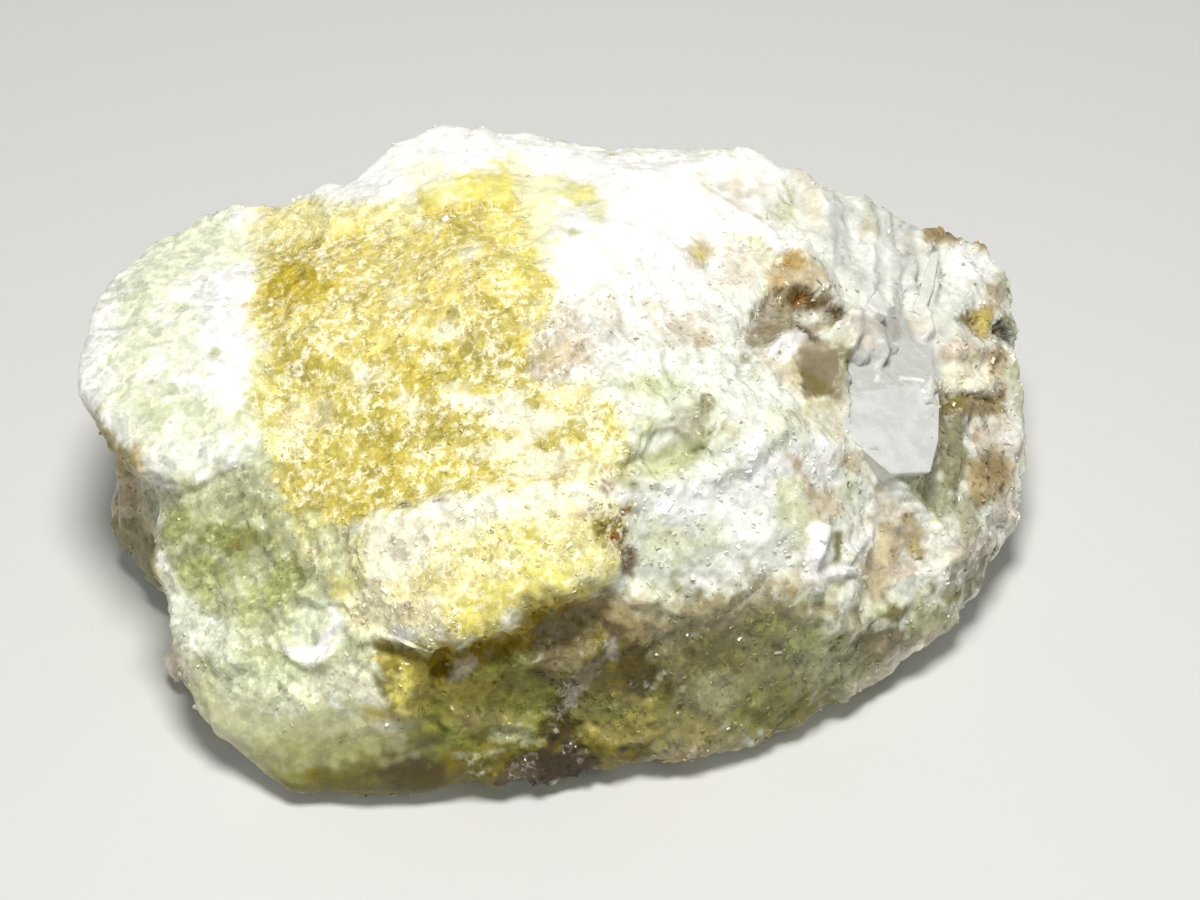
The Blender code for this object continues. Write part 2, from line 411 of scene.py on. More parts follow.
RIDGES = [  # height in millimetres, half width in pixels, line
    (0.9, 9, [(712, 205), (752, 232), (800, 262), (850, 318)]),
    (0.4, 6, [(742, 262), (765, 256), (800, 256)]),
    (0.8, 5, [(905, 262), (914, 300), (926, 334)]),
    (0.5, 6, [(925, 235), (938, 262), (930, 300)]),
    (0.7, 6, [(868, 448), (900, 485), (935, 525), (960, 556)]),
    (0.5, 11, [(640, 482), (690, 486), (730, 470), (775, 432)]),
    (0.35, 4, [(652, 478), (644, 452), (658, 430), (678, 420)]),
    (0.35, 4, [(712, 440), (722, 418), (706, 396)]),
    (0.45, 4, [(284, 640), (292, 656), (310, 664), (332, 658)]),
    (0.9, 6, [(820, 530), (815, 556), (816, 586)]),
    (0.7, 5, [(832, 574), (852, 570)]),
    (0.9, 7, [(774, 350), (785, 342), (796, 336)]),
    (0.5, 6, [(846, 560), (856, 548)]),
    (0.5, 6, [(866, 542), (872, 528)]),
    (0.5, 7, [(386, 636), (404, 628), (424, 636), (446, 640)]),
    (0.4, 7, [(384, 672), (400, 664), (412, 680), (402, 700)]),
    (0.4, 4, [(165, 490), (195, 484), (226, 468), (246, 444)]),
    (0.5, 8, [(800, 165), (822, 208), (836, 256)]),
    (0.4, 5, [(856, 190), (872, 236), (868, 296)]),
    (-0.3, 4, [(842, 178), (848, 214), (856, 262)]),
    (-0.4, 4, [(896, 214), (902, 256), (906, 310)]),
    (0.25, 6, [(940, 346), (960, 353), (985, 350), (1006, 360)]),
    (0.3, 8, [(942, 384), (962, 378), (980, 384), (1004, 380)]),
    (0.5, 5, [(395, 705), (440, 715), (500, 722), (560, 730)]),
    (0.45, 6, [(600, 640), (580, 662), (560, 690), (575, 715)]),
    (0.5, 7, [(640, 596), (700, 612), (745, 590)]),
    (0.5, 7, [(800, 610), (850, 628), (905, 600)]),
    (0.35, 6, [(150, 560), (168, 600), (190, 660), (215, 720)]),
    (-0.9, 2.5, [(425, 211), (470, 209), (518, 204)]),
    (-0.35, 4, [(606, 470), (616, 500), (626, 540), (630, 580)]),
    (-0.5, 2.5, [(612, 402), (618, 412)]),
    (-0.5, 3, [(785, 330), (815, 340), (845, 332)]),
    (-0.5, 3, [(700, 395), (716, 412), (704, 450)]),
    (-0.4, 5, [(960, 470), (985, 520)]),
    (-0.6, 4, [(940, 396), (1000, 400)]),
]
# How the borders of the forms waver, in pixels, and how the crystals are bent, in millimetres: layers of
# (height, size, salt).
FORM_WAVER = [(8, 1.6, 0), (4, 0.7, 3)]
CRYSTAL_BEND = [(0.5, 2.5, 0)]


def placed_rise(spots, waver):
    """How far the forms and ridges raise the skin at each spot, in millimetres."""
    rise = np.zeros(len(spots))
    for height, slope, outline, grows in FORMS:
        part = height * covered(spots + waver, outline, 0, slope)
        for line in grows:
            part *= step(0, 1, part_along(spots, *line))
        rise += part
    for height, width, line in RIDGES:
        rise += height * along(spots + 0.5 * waver, line, width)
    return rise


def crystal_slopes(spots, seen):
    """How steep the crystals of each size are at each spot."""
    slopes = np.tile(OPEN_TEXTURE, (len(spots), 1))
    for outline, softness, steepness in TEXTURE:
        lay(slopes, covered(spots, outline, -softness, softness) * seen, steepness)
    return slopes


def sculpted(points, edges, triangles):
    """The stone's points moved out or in along its soft normals, in millimetres; how well each is seen;
    those normals; the random number of the crystal of each size that it is on; and how far it is above the
    seams between crystals."""
    base = averaged(points, edges, SKIN_ROUNDS)
    normals = unit(averaged(normals_of(base, triangles), edges, NORMAL_ROUNDS))
    seen = step(SEEN_FROM, SEEN_WHOLE, normals @ TOWARDS)
    spots = in_picture(base)
    waver = noise_ways(base, FORM_WAVER, FORM_SALTS)
    rise = placed_rise(spots, waver) * seen
    slopes = crystal_slopes(spots + waver, seen)
    bend = noise_ways(base, CRYSTAL_BEND, BEND_SALTS)
    numbers, relief = [], np.zeros(len(base))
    for order, size in enumerate(CRYSTAL_SIZES):
        height, number = crystals(base + bend * min(1, size / 2), size, CRYSTAL_SALT + order)
        rise += height * size * slopes[:, order]
        relief += SEAM_SHADES[order] * (height - SEAM_HEIGHT)
        numbers.append(number)
    rise += SWELL * layered(base, SWELL_SIZE, SWELL_SALT)
    moved = base + normals * (rise * step(0.0, FOOT_FADE, base[:, 2]))[:, None]
    moved[:, 2] = np.maximum(moved[:, 2], 0.0)
    return moved, seen, normals, numbers, relief


# ================================================================ colours
# As a screen shows them, from 0 to 255.
MILK = (253, 253, 247)
PALE_GREEN = (234, 240, 208)
SAGE = (208, 212, 170)
GREEN = (182, 190, 116)
MOSS = (148, 154, 66)
LIME = (216, 212, 140)
LEMON = (246, 241, 178)
YELLOW = (234, 224, 122)
CREAM = (253, 249, 222)
HONEY = (208, 194, 92)
DEEP_HONEY = (196, 176, 48)
AMBER = (164, 140, 10)
KHAKI = (172, 158, 62)
STRAW = (238, 222, 142)
GOLD = (206, 164, 74)
OLIVE = (116, 106, 22)
DARK_OLIVE = (84, 72, 6)
STONE = (146, 144, 106)
ICE = (206, 207, 202)
CLEAR = (250, 251, 251)
DEEP_CLEAR = (230, 232, 226)
PEARL = (236, 238, 225)
PINK = (214, 203, 184)
SAND = (206, 190, 150)
TAN = (178, 160, 118)
TAUPE = (138, 126, 98)
BROWN = (106, 82, 34)
UMBER = (66, 52, 28)
RUST = (150, 98, 10)
INK = (28, 26, 22)

# Clouds of a colour all over the stone, before the paint: size in millimetres, where its noise starts
# and where it is full, and strength.
CLOUDS = [
    (SAGE, 7.0, -0.30, 0.45, 0.8), (GREEN, 4.5, 0.10, 0.7, 0.6), (CREAM, 5.0, 0.15, 0.7, 0.6),
    (SAND, 4.0, 0.30, 0.8, 0.6), (MILK, 2.2, 0.15, 0.6, 0.6), (TAUPE, 3.0, 0.55, 0.9, 0.5),
]
# Paint, laid on in this order: colour, strength, softness of the edge in pixels, and an outline or an
# oval (x, y, half width, half height).
PAINT = [
    # the pale slab on the left, with its broken side below it
    (MILK, 0.88, 8, PLATE),
    (PALE_GREEN, 0.9, 16, [(150, 225), (232, 200), (250, 260), (240, 290), (200, 262), (165, 300),
                           (150, 370), (175, 420), (150, 440), (120, 380), (112, 300)]),
    (PALE_GREEN, 0.8, 14, (178, 334, 26, 34)),
    (PALE_GREEN, 0.8, 12, (205, 420, 40, 18)),
    (SAGE, 0.3, 16, [(100, 400), (150, 380), (200, 388), (256, 420), (230, 466), (165, 490), (118, 450)]),
    (SAGE, 0.45, 10, (196, 404, 24, 10)),
    (SAGE, 0.4, 10, (158, 398, 12, 20)),
    (LEMON, 0.6, 10, (256, 240, 14, 34)),
    (LIME, 0.45, 8, (254, 330, 8, 50)),
    (GREEN, 0.6, 7, (248, 405, 9, 18)),
    (MILK, 1.0, 6, [(198, 300), (212, 268), (246, 262), (262, 300), (256, 344), (226, 356), (204, 350)]),
    (GREEN, 0.7, 3, (216, 351, 5, 4)),
    (SAND, 0.9, 6, [(92, 418), (118, 438), (142, 470), (150, 500), (168, 600), (128, 570), (100, 522)]),
    (KHAKI, 0.7, 6, [(92, 405), (128, 455), (128, 476), (98, 440)]),
    (OLIVE, 0.3, 6, [(92, 412), (128, 462), (128, 480), (98, 446)]),
    (TAN, 0.6, 8, (118, 482, 16, 26)),
    # the broken side's own stone and olive, darkened as painted shade under the overhanging slab
    (STONE, 0.85, 6, BROKEN_SIDE),
    (OLIVE, 0.35, 6, BROKEN_SIDE),
    (PINK, 0.8, 6, [(136, 480), (170, 484), (208, 496), (196, 512), (150, 506)]),
    (TAN, 0.5, 4, (170, 493, 22, 5)),
    (PINK, 0.7, 5, [(158, 665), (172, 636), (196, 650), (198, 694), (166, 686)]),
    (STONE, 0.4, 6, (178, 675, 10, 12)),
    # green crystal on the lower left
    (SAGE, 1.0, 10, GREEN_LEFT),
    (STONE, 0.35, 14, (185, 545, 26, 30)),
    (GREEN, 0.8, 10, (188, 528, 26, 16)),
    (MOSS, 0.9, 10, (236, 541, 38, 17)),
    (MOSS, 0.7, 8, (290, 571, 26, 16)),
    (MOSS, 0.5, 9, (262, 506, 34, 12)),
    (STONE, 0.3, 14, [(160, 500), (260, 470), (340, 540), (340, 600), (180, 600)]),
    (MOSS, 0.4, 7, (206, 566, 20, 10)),
    (GREEN, 0.5, 8, (262, 660, 30, 12)),
    (GREEN, 0.8, 12, (275, 590, 26, 14)),
    (GREEN, 0.6, 12, (200, 580, 26, 26)),
    (GREEN, 0.55, 12, (250, 605, 22, 16)),
    (LIME, 0.7, 10, (310, 520, 32, 18)),
    (KHAKI, 0.5, 6, (314, 556, 12, 7)),
    (HONEY, 0.6, 8, (340, 590, 14, 12)),
    (RUST, 0.6, 2.5, (237, 546, 4, 4)),
    (PEARL, 0.7, 9, [(165, 560), (188, 590), (230, 640), (225, 664), (190, 650), (172, 605)]),
    (PALE_GREEN, 0.6, 14, [(205, 640), (300, 672), (380, 660), (390, 700), (300, 706), (220, 690)]),
    (CREAM, 0.6, 12, (352, 688, 34, 16)),
    # waxy foot
    (SAGE, 0.9, 10, FOOT),
    (PALE_GREEN, 0.4, 14, (250, 712, 46, 20)),
    (GREEN, 0.7, 12, (330, 750, 60, 16)),
    (STONE, 0.5, 14, [(230, 740), (420, 730), (470, 716), (480, 800), (290, 812)]),
    (KHAKI, 0.25, 14, FOOT),
    (MOSS, 0.8, 9, (330, 778, 70, 16)),
    (OLIVE, 0.85, 9, [(280, 778), (420, 752), (490, 736), (490, 800), (300, 812)]),
    (DARK_OLIVE, 0.4, 8, [(290, 790), (420, 768), (490, 748), (490, 800), (300, 812)]),
    (DARK_OLIVE, 1.0, 9, (440, 770, 54, 24)),
    (PINK, 0.6, 7, (222, 752, 16, 12)),
    (KHAKI, 0.7, 10, (400, 718, 30, 16)),
    (PEARL, 0.5, 5, (392, 726, 16, 5)),
    (PEARL, 0.5, 5, (430, 708, 14, 6)),
    # the honey-coloured face
    (HONEY, 1.0, 9, HONEY_PATCH),
    (LIME, 0.6, 8, [(246, 330), (262, 340), (276, 440), (266, 452), (248, 420)]),
    (LEMON, 0.85, 12, [(262, 205), (345, 196), (415, 196), (420, 222), (340, 228), (290, 236), (262, 250)]),
    (STRAW, 0.5, 24, [(270, 215), (520, 200), (548, 250), (560, 320), (420, 350), (270, 340)]),
    (DEEP_HONEY, 1.0, 8, (298, 281, 36, 22)),
    (DEEP_HONEY, 0.7, 9, (310, 252, 32, 10)),
    (DEEP_HONEY, 0.6, 7, (297, 305, 24, 8)),
    (DEEP_HONEY, 0.5, 7, (360, 300, 12, 9)),
    (DEEP_HONEY, 0.5, 9, (454, 232, 22, 18)),
    (DEEP_HONEY, 0.55, 9, (500, 300, 30, 16)),
    (KHAKI, 0.6, 5, (489, 308, 8, 6)),
    (DEEP_HONEY, 0.5, 9, (520, 262, 20, 18)),
    (DEEP_HONEY, 0.55, 8, (425, 350, 22, 8)),
    (DEEP_HONEY, 0.6, 10, (420, 382, 34, 12)),
    (KHAKI, 0.5, 9, (300, 362, 20, 26)),
    (DEEP_HONEY, 0.5, 9, (356, 405, 16, 12)),
    (KHAKI, 0.7, 12, (400, 436, 40, 16)),
    (DEEP_HONEY, 0.6, 12, (384, 466, 18, 36)),
    (DEEP_HONEY, 0.5, 8, (310, 425, 20, 10)),
    (YELLOW, 0.6, 14, (520, 250, 26, 44)),
    (CREAM, 0.75, 7, (400, 298, 12, 8)),
    (CREAM, 0.75, 7, (470, 252, 10, 9)),
    (CREAM, 0.7, 8, (440, 330, 18, 8)),
    (CREAM, 0.4, 7, [(300, 400), (330, 402), (336, 424), (300, 440), (284, 452), (270, 430)]),
    (CREAM, 0.7, 8, (455, 396, 16, 10)),
    (CREAM, 0.9, 8, [(480, 396), (512, 388), (530, 410), (560, 420), (540, 440), (490, 424)]),
    (CREAM, 0.8, 8, (552, 462, 36, 14)),
    (CREAM, 0.7, 8, (500, 452, 30, 8)),
    (LEMON, 0.8, 9, (575, 396, 36, 14)),
    (LEMON, 0.5, 9, (600, 440, 12, 24)),
    (CREAM, 0.7, 8, (360, 376, 22, 8)),
    (CREAM, 0.6, 8, (410, 405, 12, 10)),
    (YELLOW, 1.0, 4, FACET),
    (LEMON, 0.7, 7, (446, 190, 18, 10)),
    (CREAM, 0.6, 5, (456, 198, 12, 5)),
    (DEEP_HONEY, 0.45, 4, (470, 205, 36, 4)),
    (LIME, 0.9, 6, [(614, 402), (628, 420), (634, 450), (622, 480), (606, 486), (610, 440)]),
    # the bright top
    (MILK, 1.0, 9, WHITE_TOP),
    (LEMON, 0.7, 10, [(512, 158), (560, 176), (556, 260), (540, 256), (520, 205)]),
    (LEMON, 0.45, 10, (425, 170, 26, 14)),
    (LIME, 0.9, 6, (578, 192, 20, 13)),
    (YELLOW, 0.5, 5, (584, 188, 9, 7)),
    (LIME, 0.7, 5, (598, 210, 9, 9)),
    (MOSS, 0.7, 3, (574, 232, 9, 4)),
    (GREEN, 0.5, 3, (594, 238, 7, 3)),
    (GREEN, 0.35, 4, (612, 252, 10, 5)),
    # pink and white grains
    (PEARL, 1.0, 12, GRAINY),
    (MILK, 0.8, 12, [(600, 270), (660, 236), (720, 236), (700, 300), (640, 330), (610, 320)]),
    (PINK, 0.8, 9, [(526, 345), (548, 320), (566, 306), (590, 330), (586, 366), (560, 384), (528, 372)]),
    (SAND, 0.8, 8, (558, 356, 20, 13)),
    (KHAKI, 0.35, 6, (545, 350, 8, 8)),
    (SAND, 0.8, 6, (700, 252, 13, 13)),
    (HONEY, 0.7, 4, (700, 255, 5, 5)),
    (PINK, 0.8, 10, (684, 328, 24, 14)),
    (SAND, 0.6, 7, (702, 338, 10, 8)),
    (SAND, 0.5, 8, (650, 306, 16, 9)),
    (PINK, 0.6, 8, (612, 312, 14, 20)),
    (PINK, 0.7, 8, (738, 268, 20, 20)),
    (GREEN, 0.4, 6, (630, 270, 10, 5)),
    (SAND, 0.5, 10, (739, 184, 26, 9)),
    (SAND, 0.35, 8, (728, 204, 14, 8)),
    (PEARL, 0.6, 8, (748, 360, 22, 20)),
    (MOSS, 0.5, 4, (744, 358, 7, 4)),
    (GREEN, 0.45, 5, (757, 375, 8, 4)),
    # the glassy green pocket
    (PALE_GREEN, 1.0, 8, AROUND_POCKET),
    (PEARL, 0.6, 8, AROUND_POCKET),
    (SAGE, 0.8, 8, (655, 384, 28, 12)),
    (GREEN, 0.5, 6, (655, 380, 12, 7)),
    (STONE, 0.6, 8, [(690, 400), (712, 404), (714, 432), (700, 462), (680, 474), (668, 462), (684, 440),
                     (680, 416)]),
    (SAGE, 0.9, 8, (662, 456, 26, 24)),
    (STONE, 0.3, 8, (640, 470, 24, 12)),
    (STONE, 0.25, 8, (664, 462, 20, 14)),
    (MOSS, 0.5, 6, [(672, 464), (690, 448), (704, 432), (712, 440), (700, 462), (682, 476)]),
    (OLIVE, 0.5, 5, (703, 405, 8, 7)),
    (TAUPE, 0.5, 5, (688, 425, 14, 10)),
    (SAGE, 0.8, 5, (662, 470, 22, 8)),
    (SAGE, 0.6, 5, (644, 425, 16, 9)),
    (MILK, 0.8, 4, [(640, 450), (656, 438), (672, 424), (676, 432), (660, 448), (646, 458)]),
    # the white band and what is under it
    (PEARL, 1.0, 12, MID_BAND),
    (MILK, 1.0, 9, [(624, 494), (660, 488), (700, 488), (740, 470), (752, 430), (770, 410), (800, 440),
                    (810, 470),
                    (790, 510), (730, 520), (690, 540), (640, 530)]),
    (PALE_GREEN, 0.5, 9, (640, 520, 16, 20)),
    (MILK, 0.5, 8, (640, 498, 20, 10)),
    (SAGE, 0.7, 9, (668, 545, 26, 18)),
    (SAGE, 0.5, 10, (705, 528, 18, 14)),
    (STONE, 0.25, 10, (715, 566, 26, 14)),
    (MILK, 0.9, 5, [(680, 580), (700, 570), (740, 556), (760, 540), (752, 562), (716, 586), (690, 592)]),
    (MILK, 0.7, 8, (760, 530, 26, 18)),
    (PALE_GREEN, 0.6, 9, (650, 590, 30, 12)),
    (KHAKI, 0.5, 10, (720, 606, 34, 10)),
    # the brown hollow and the face beside it
    (MILK, 0.9, 5, [(740, 228), (770, 216), (830, 244), (856, 264), (850, 280), (822, 256), (776, 250)]),
    (PEARL, 0.7, 5, (862, 278, 22, 18)),
    (PINK, 0.4, 5, (768, 262, 14, 18)),
    (SAND, 0.9, 5, [(768, 284), (780, 258), (792, 250), (812, 256), (826, 270), (840, 284), (808, 291),
                    (776, 290)]),
    (GOLD, 0.7, 5, (794, 260, 12, 9)),
    (GOLD, 0.5, 4, (780, 280, 8, 5)),
    (PINK, 0.5, 4, (822, 282, 12, 7)),
    (TAUPE, 0.6, 3, (833, 280, 5, 4)),
    (TAUPE, 0.85, 5, [(746, 344), (756, 314), (774, 290), (800, 287), (830, 294), (848, 308), (838, 320),
                      (814, 332), (800, 344), (768, 348)]),
    (PINK, 0.4, 5, (766, 308, 9, 10)),
    (BROWN, 0.9, 4, [(784, 302), (792, 292), (812, 290), (832, 297), (847, 309), (836, 317), (818, 310),
                     (800, 309)]),
    (UMBER, 0.6, 3, [(796, 289), (812, 289), (848, 308), (842, 314), (816, 300)]),
    (RUST, 0.85, 3, (798, 300, 8, 6)),
    (RUST, 0.4, 3, (816, 302, 8, 4)),
    (PEARL, 0.6, 4, (806, 317, 11, 5)),
    (PEARL, 0.5, 4, (822, 314, 8, 7)),
    (UMBER, 0.85, 2.5, [(796, 325), (806, 327), (822, 341), (816, 344), (800, 334)]),
    (BROWN, 0.4, 4, (772, 330, 18, 5)),
    (SAND, 0.6, 6, [(760, 352), (780, 344), (846, 338), (852, 396), (790, 396), (770, 372)]),
    (TAUPE, 0.9, 5, [(794, 348), (842, 339), (852, 350), (851, 399), (802, 398)]),
    (STONE, 0.75, 4, [(836, 342), (850, 350), (850, 392), (841, 394)]),
    (OLIVE, 0.55, 5, [(796, 364), (812, 372), (838, 394), (822, 398), (806, 388)]),
    (PINK, 0.3, 4, (826, 345, 14, 4)),
    (MILK, 0.95, 3, [(767, 351), (777, 337), (789, 329), (801, 334), (799, 346), (783, 357), (770, 357)]),
    (TAUPE, 0.5, 3, (746, 358, 7, 6)),
    (PEARL, 0.8, 6, [(765, 366), (786, 388), (800, 400), (780, 420), (752, 400)]),
    (SAND, 0.5, 4, [(798, 400), (846, 399), (842, 440), (816, 430), (804, 414)]),
    (PEARL, 0.5, 6, (826, 420, 16, 14)),
    (SAGE, 0.5, 7, (780, 425, 16, 22)),
    # pale grey blades
    (PEARL, 0.95, 8, BLADES),
    (ICE, 0.35, 12, BLADES),
    (ICE, 0.4, 5, [(812, 166), (820, 168), (846, 212), (852, 262), (844, 262), (834, 214)]),
    (ICE, 0.5, 5, [(864, 194), (872, 198), (886, 244), (884, 304), (876, 304), (878, 244)]),
    (ICE, 0.5, 5, [(894, 212), (901, 216), (908, 256), (910, 310), (902, 310), (899, 256)]),
    (STONE, 0.3, 4, [(740, 186), (748, 186), (776, 212), (792, 240), (784, 240), (766, 216)]),
    (MILK, 0.7, 4, [(850, 190), (856, 192), (876, 236), (876, 296), (868, 296), (868, 238)]),
    (MILK, 0.7, 4, [(880, 206), (886, 210), (894, 250), (892, 312), (885, 312), (886, 250)]),
    (MILK, 0.7, 5, [(800, 165), (806, 166), (830, 208), (842, 256), (834, 256), (822, 210)]),
    (SAND, 0.4, 5, [(796, 166), (816, 176), (826, 222), (812, 232), (802, 205)]),
    (ICE, 0.6, 7, (850, 228, 28, 28)),
    (SAND, 0.5, 3, [(858, 224), (872, 216), (884, 236), (868, 228), (860, 240)]),
    (STONE, 0.35, 5, (868, 214, 6, 18)),
    (ICE, 0.5, 9, (872, 286, 14, 26)),
    (ICE, 0.8, 5, (906, 262, 12, 34)),
    (STONE, 0.3, 4, (912, 250, 6, 20)),
    (ICE, 1.0, 5, [(852, 316), (872, 308), (906, 314), (936, 330), (940, 386), (848, 396)]),
    (STONE, 0.4, 5, (892, 358, 22, 14)),
    (PINK, 0.6, 5, [(842, 322), (862, 312), (880, 322), (878, 344), (854, 346)]),
    (STONE, 0.25, 6, (900, 330, 24, 9)),
    (PINK, 0.5, 5, (916, 322, 14, 8)),
    (ICE, 0.9, 4, [(940, 280), (984, 278), (984, 316), (966, 320), (946, 322)]),
    (ICE, 1.0, 4, BLOCK_SEAT),
    # brown and white grains at the right end
    (PEARL, 0.9, 9, RIGHT_END),
    (TAN, 1.0, 4, [(918, 212), (952, 210), (972, 232), (962, 244), (926, 240)]),
    (TAUPE, 0.6, 4, (946, 230, 16, 8)),
    (OLIVE, 0.5, 4, (942, 228, 14, 6)),
    (TAN, 0.9, 3, [(966, 234), (990, 234), (1004, 250), (992, 254), (974, 244)]),
    (RUST, 0.35, 3, (990, 242, 8, 5)),
    (MILK, 1.0, 5, [(944, 252), (966, 244), (996, 256), (1000, 276), (950, 278)]),
    (STONE, 0.6, 5, (1008, 282, 10, 16)),
    (TAN, 0.8, 4, [(926, 208), (965, 204), (990, 224), (966, 236), (930, 232)]),
    (TAN, 0.8, 4, [(982, 288), (1002, 286), (1004, 316), (984, 310)]),
    (PINK, 0.9, 3, (993, 301, 7, 6)),
    (TAN, 1.0, 3, [(958, 318), (972, 308), (988, 306), (994, 338), (978, 338)]),
    (HONEY, 0.6, 3, (982, 322, 8, 12)),
    (OLIVE, 0.6, 3, (964, 320, 7, 5)),
    # painted shade: near-black inside the deep notch
    (INK, 0.95, 3, DARK_NOTCH),
    (STONE, 0.8, 4, (1010, 322, 6, 8)),
    (PINK, 0.9, 5, [(942, 330), (962, 338), (1008, 350), (1010, 390), (942, 392)]),
    (CREAM, 1.0, 5, [(942, 366), (970, 358), (994, 362), (1000, 390), (944, 390)]),
    (TAN, 0.5, 4, [(944, 352), (972, 356), (1000, 352), (1000, 360), (970, 363), (944, 358)]),
    (TAN, 0.4, 4, [(950, 374), (976, 370), (984, 374), (970, 379)]),
    (TAN, 0.8, 5, (1000, 368, 8, 16)),
    (TAN, 1.0, 4, TAN_LAYER),
    (TAUPE, 0.4, 4, TAN_LAYER),
    (OLIVE, 0.8, 3, [(942, 396), (968, 396), (966, 410), (944, 410)]),
    (OLIVE, 0.5, 3, (990, 400, 10, 4)),
    (STONE, 0.95, 6, [(938, 416), (966, 416), (972, 450), (962, 490), (940, 490), (930, 470)]),
    (PINK, 0.9, 5, [(968, 420), (1004, 418), (1032, 448), (1030, 468), (1000, 458), (980, 460)]),
    (MILK, 0.5, 4, (1012, 440, 14, 10)),
    (RUST, 0.4, 2.5, (975, 430, 3, 12)),
    (TAN, 1.0, 5, [(964, 458), (998, 452), (1012, 462), (1010, 492), (980, 506), (966, 486)]),
    (BROWN, 0.45, 4, (990, 470, 13, 12)),
    (PEARL, 0.6, 5, (1022, 476, 8, 14)),
    (PINK, 0.8, 8, (1008, 508, 14, 14)),
    (STONE, 0.8, 8, [(900, 478), (950, 480), (980, 520), (970, 550), (940, 520), (912, 500)]),
    (PEARL, 0.6, 5, (950, 530, 12, 18)),
    (PINK, 0.7, 8, (978, 548, 24, 18)),
    # round the small prisms
    (PEARL, 0.9, 10, [(806, 440), (846, 440), (880, 470), (930, 530), (950, 572), (900, 590), (850, 560),
                      (812, 530)]),
    (SAGE, 0.8, 7, [(780, 480), (806, 480), (812, 540), (790, 550), (776, 520)]),
    (MILK, 1.0, 6, [(802, 450), (822, 434), (842, 450), (838, 490), (812, 492)]),
    (SAND, 0.8, 4, (850, 462, 14, 9)),
    (TAN, 0.7, 3, (800, 464, 6, 5)),
    (TAN, 0.6, 3, [(788, 456), (794, 456), (822, 500), (812, 500)]),
    (SAND, 0.7, 6, (826, 506, 16, 18)),
    (SAGE, 0.6, 5, (848, 490, 8, 12)),
    (SAND, 0.9, 6, [(862, 520), (902, 520), (906, 566), (880, 600), (862, 590)]),
    (PEARL, 0.7, 5, (868, 540, 10, 14)),
    (TAN, 0.7, 3, [(862, 472), (882, 484), (890, 494), (876, 490)]),
    (PINK, 0.8, 5, (888, 508, 14, 14)),
    (TAN, 0.9, 5, [(906, 508), (924, 528), (924, 556), (908, 556), (900, 536)]),
    (HONEY, 0.4, 4, (914, 546, 7, 8)),
    (PINK, 1.0, 4, (904, 568, 13, 10)),
    (OLIVE, 0.9, 3, [(834, 532), (842, 532), (840, 560), (833, 560)]),
    (MILK, 0.9, 3, [(842, 544), (852, 536), (864, 548), (868, 562), (852, 556)]),
    (MILK, 1.0, 3, [(811, 526), (829, 528), (827, 560), (830, 575), (822, 592), (805, 590), (800, 577),
                    (806, 552)]),
    (MILK, 1.0, 3, [(828, 568), (844, 562), (858, 572), (846, 582), (830, 580)]),
    (MILK, 0.9, 3, [(862, 526), (876, 522), (876, 544), (864, 546)]),
    (MILK, 0.7, 4, [(876, 452), (904, 482), (952, 538), (944, 542), (894, 492), (868, 462)]),
    # dim glassy face on the lower right
    (STONE, 1.0, 28, LOW_RIGHT),
    (OLIVE, 0.25, 14, LOW_RIGHT),
    (SAND, 0.4, 10, (740, 612, 70, 16)),
    (TAUPE, 0.4, 10, (740, 616, 60, 14)),
    (OLIVE, 0.5, 12, (706, 660, 46, 30)),
    (MOSS, 0.6, 7, (765, 624, 18, 12)),
    (GREEN, 0.4, 8, (812, 640, 26, 18)),
    (MOSS, 0.6, 12, (778, 716, 44, 24)),
    (OLIVE, 0.35, 12, (790, 712, 50, 24)),
    (DARK_OLIVE, 0.2, 12, (784, 716, 46, 18)),
    (BROWN, 0.3, 10, (890, 640, 30, 14)),
    (SAGE, 0.35, 9, (836, 668, 30, 18)),
    (TAN, 0.5, 8, (790, 586, 26, 10)),
    (OLIVE, 0.8, 5, (898, 612, 14, 9)),
    (TAUPE, 0.7, 9, (890, 640, 26, 14)),
    (SAGE, 0.5, 7, (924, 618, 12, 12)),
    (PINK, 0.6, 9, [(850, 690), (880, 660), (930, 625), (944, 632), (880, 690), (850, 712)]),
    (TAN, 0.7, 9, [(640, 760), (700, 748), (770, 742), (756, 760), (650, 786)]),
    (KHAKI, 0.3, 9, (690, 728, 44, 16)),
    (SAGE, 0.3, 8, (715, 690, 24, 20)),
    (TAUPE, 0.4, 8, (664, 640, 22, 18)),
    # olive hollow under the lip
    (OLIVE, 1.0, 10, UNDERSIDE),
    (KHAKI, 0.6, 12, HOLLOW_LEFT),
    (MOSS, 0.4, 12, HOLLOW_LEFT),
    (KHAKI, 0.9, 6, [(376, 640), (420, 648), (434, 690), (402, 702), (378, 684)]),
    (YELLOW, 0.9, 4, (401, 686, 13, 13)),
    (MOSS, 0.5, 8, (508, 664, 24, 20)),
    (MOSS, 0.4, 8, (500, 712, 40, 16)),
    (TAN, 0.4, 8, (486, 718, 30, 12)),
    (KHAKI, 0.8, 7, (470, 690, 26, 14)),
    (OLIVE, 0.8, 5, (510, 680, 9, 22)),
    (STONE, 0.5, 7, [(530, 632), (560, 618), (596, 624), (600, 656), (580, 672), (548, 684), (534, 660)]),
    (TAN, 0.5, 7, [(534, 632), (560, 622), (592, 628), (596, 656), (580, 668), (548, 676), (536, 656)]),
    (MOSS, 0.5, 6, (540, 690, 16, 14)),
    # painted shadow under the lip's overhanging edge, in the amber of the crystal there
    (AMBER, 0.95, 5, [(470, 640), (512, 630), (530, 604), (572, 594), (584, 604), (560, 615), (536, 631),
                      (520, 647), (480, 663)]),
    (SAND, 0.7, 7, [(566, 604), (600, 590), (616, 602), (606, 628), (580, 624)]),
    # painted shadow: the olive right end of the band under the lip
    (OLIVE, 0.3, 4, [(560, 604), (590, 606), (614, 628), (604, 630), (586, 614), (562, 612)]),
    (AMBER, 1.0, 3, AMBER_HOLLOW),
    (SAGE, 0.4, 8, (640, 604, 26, 14)),
    (TAN, 0.6, 8, [(600, 592), (640, 594), (664, 622), (650, 650), (604, 650)]),
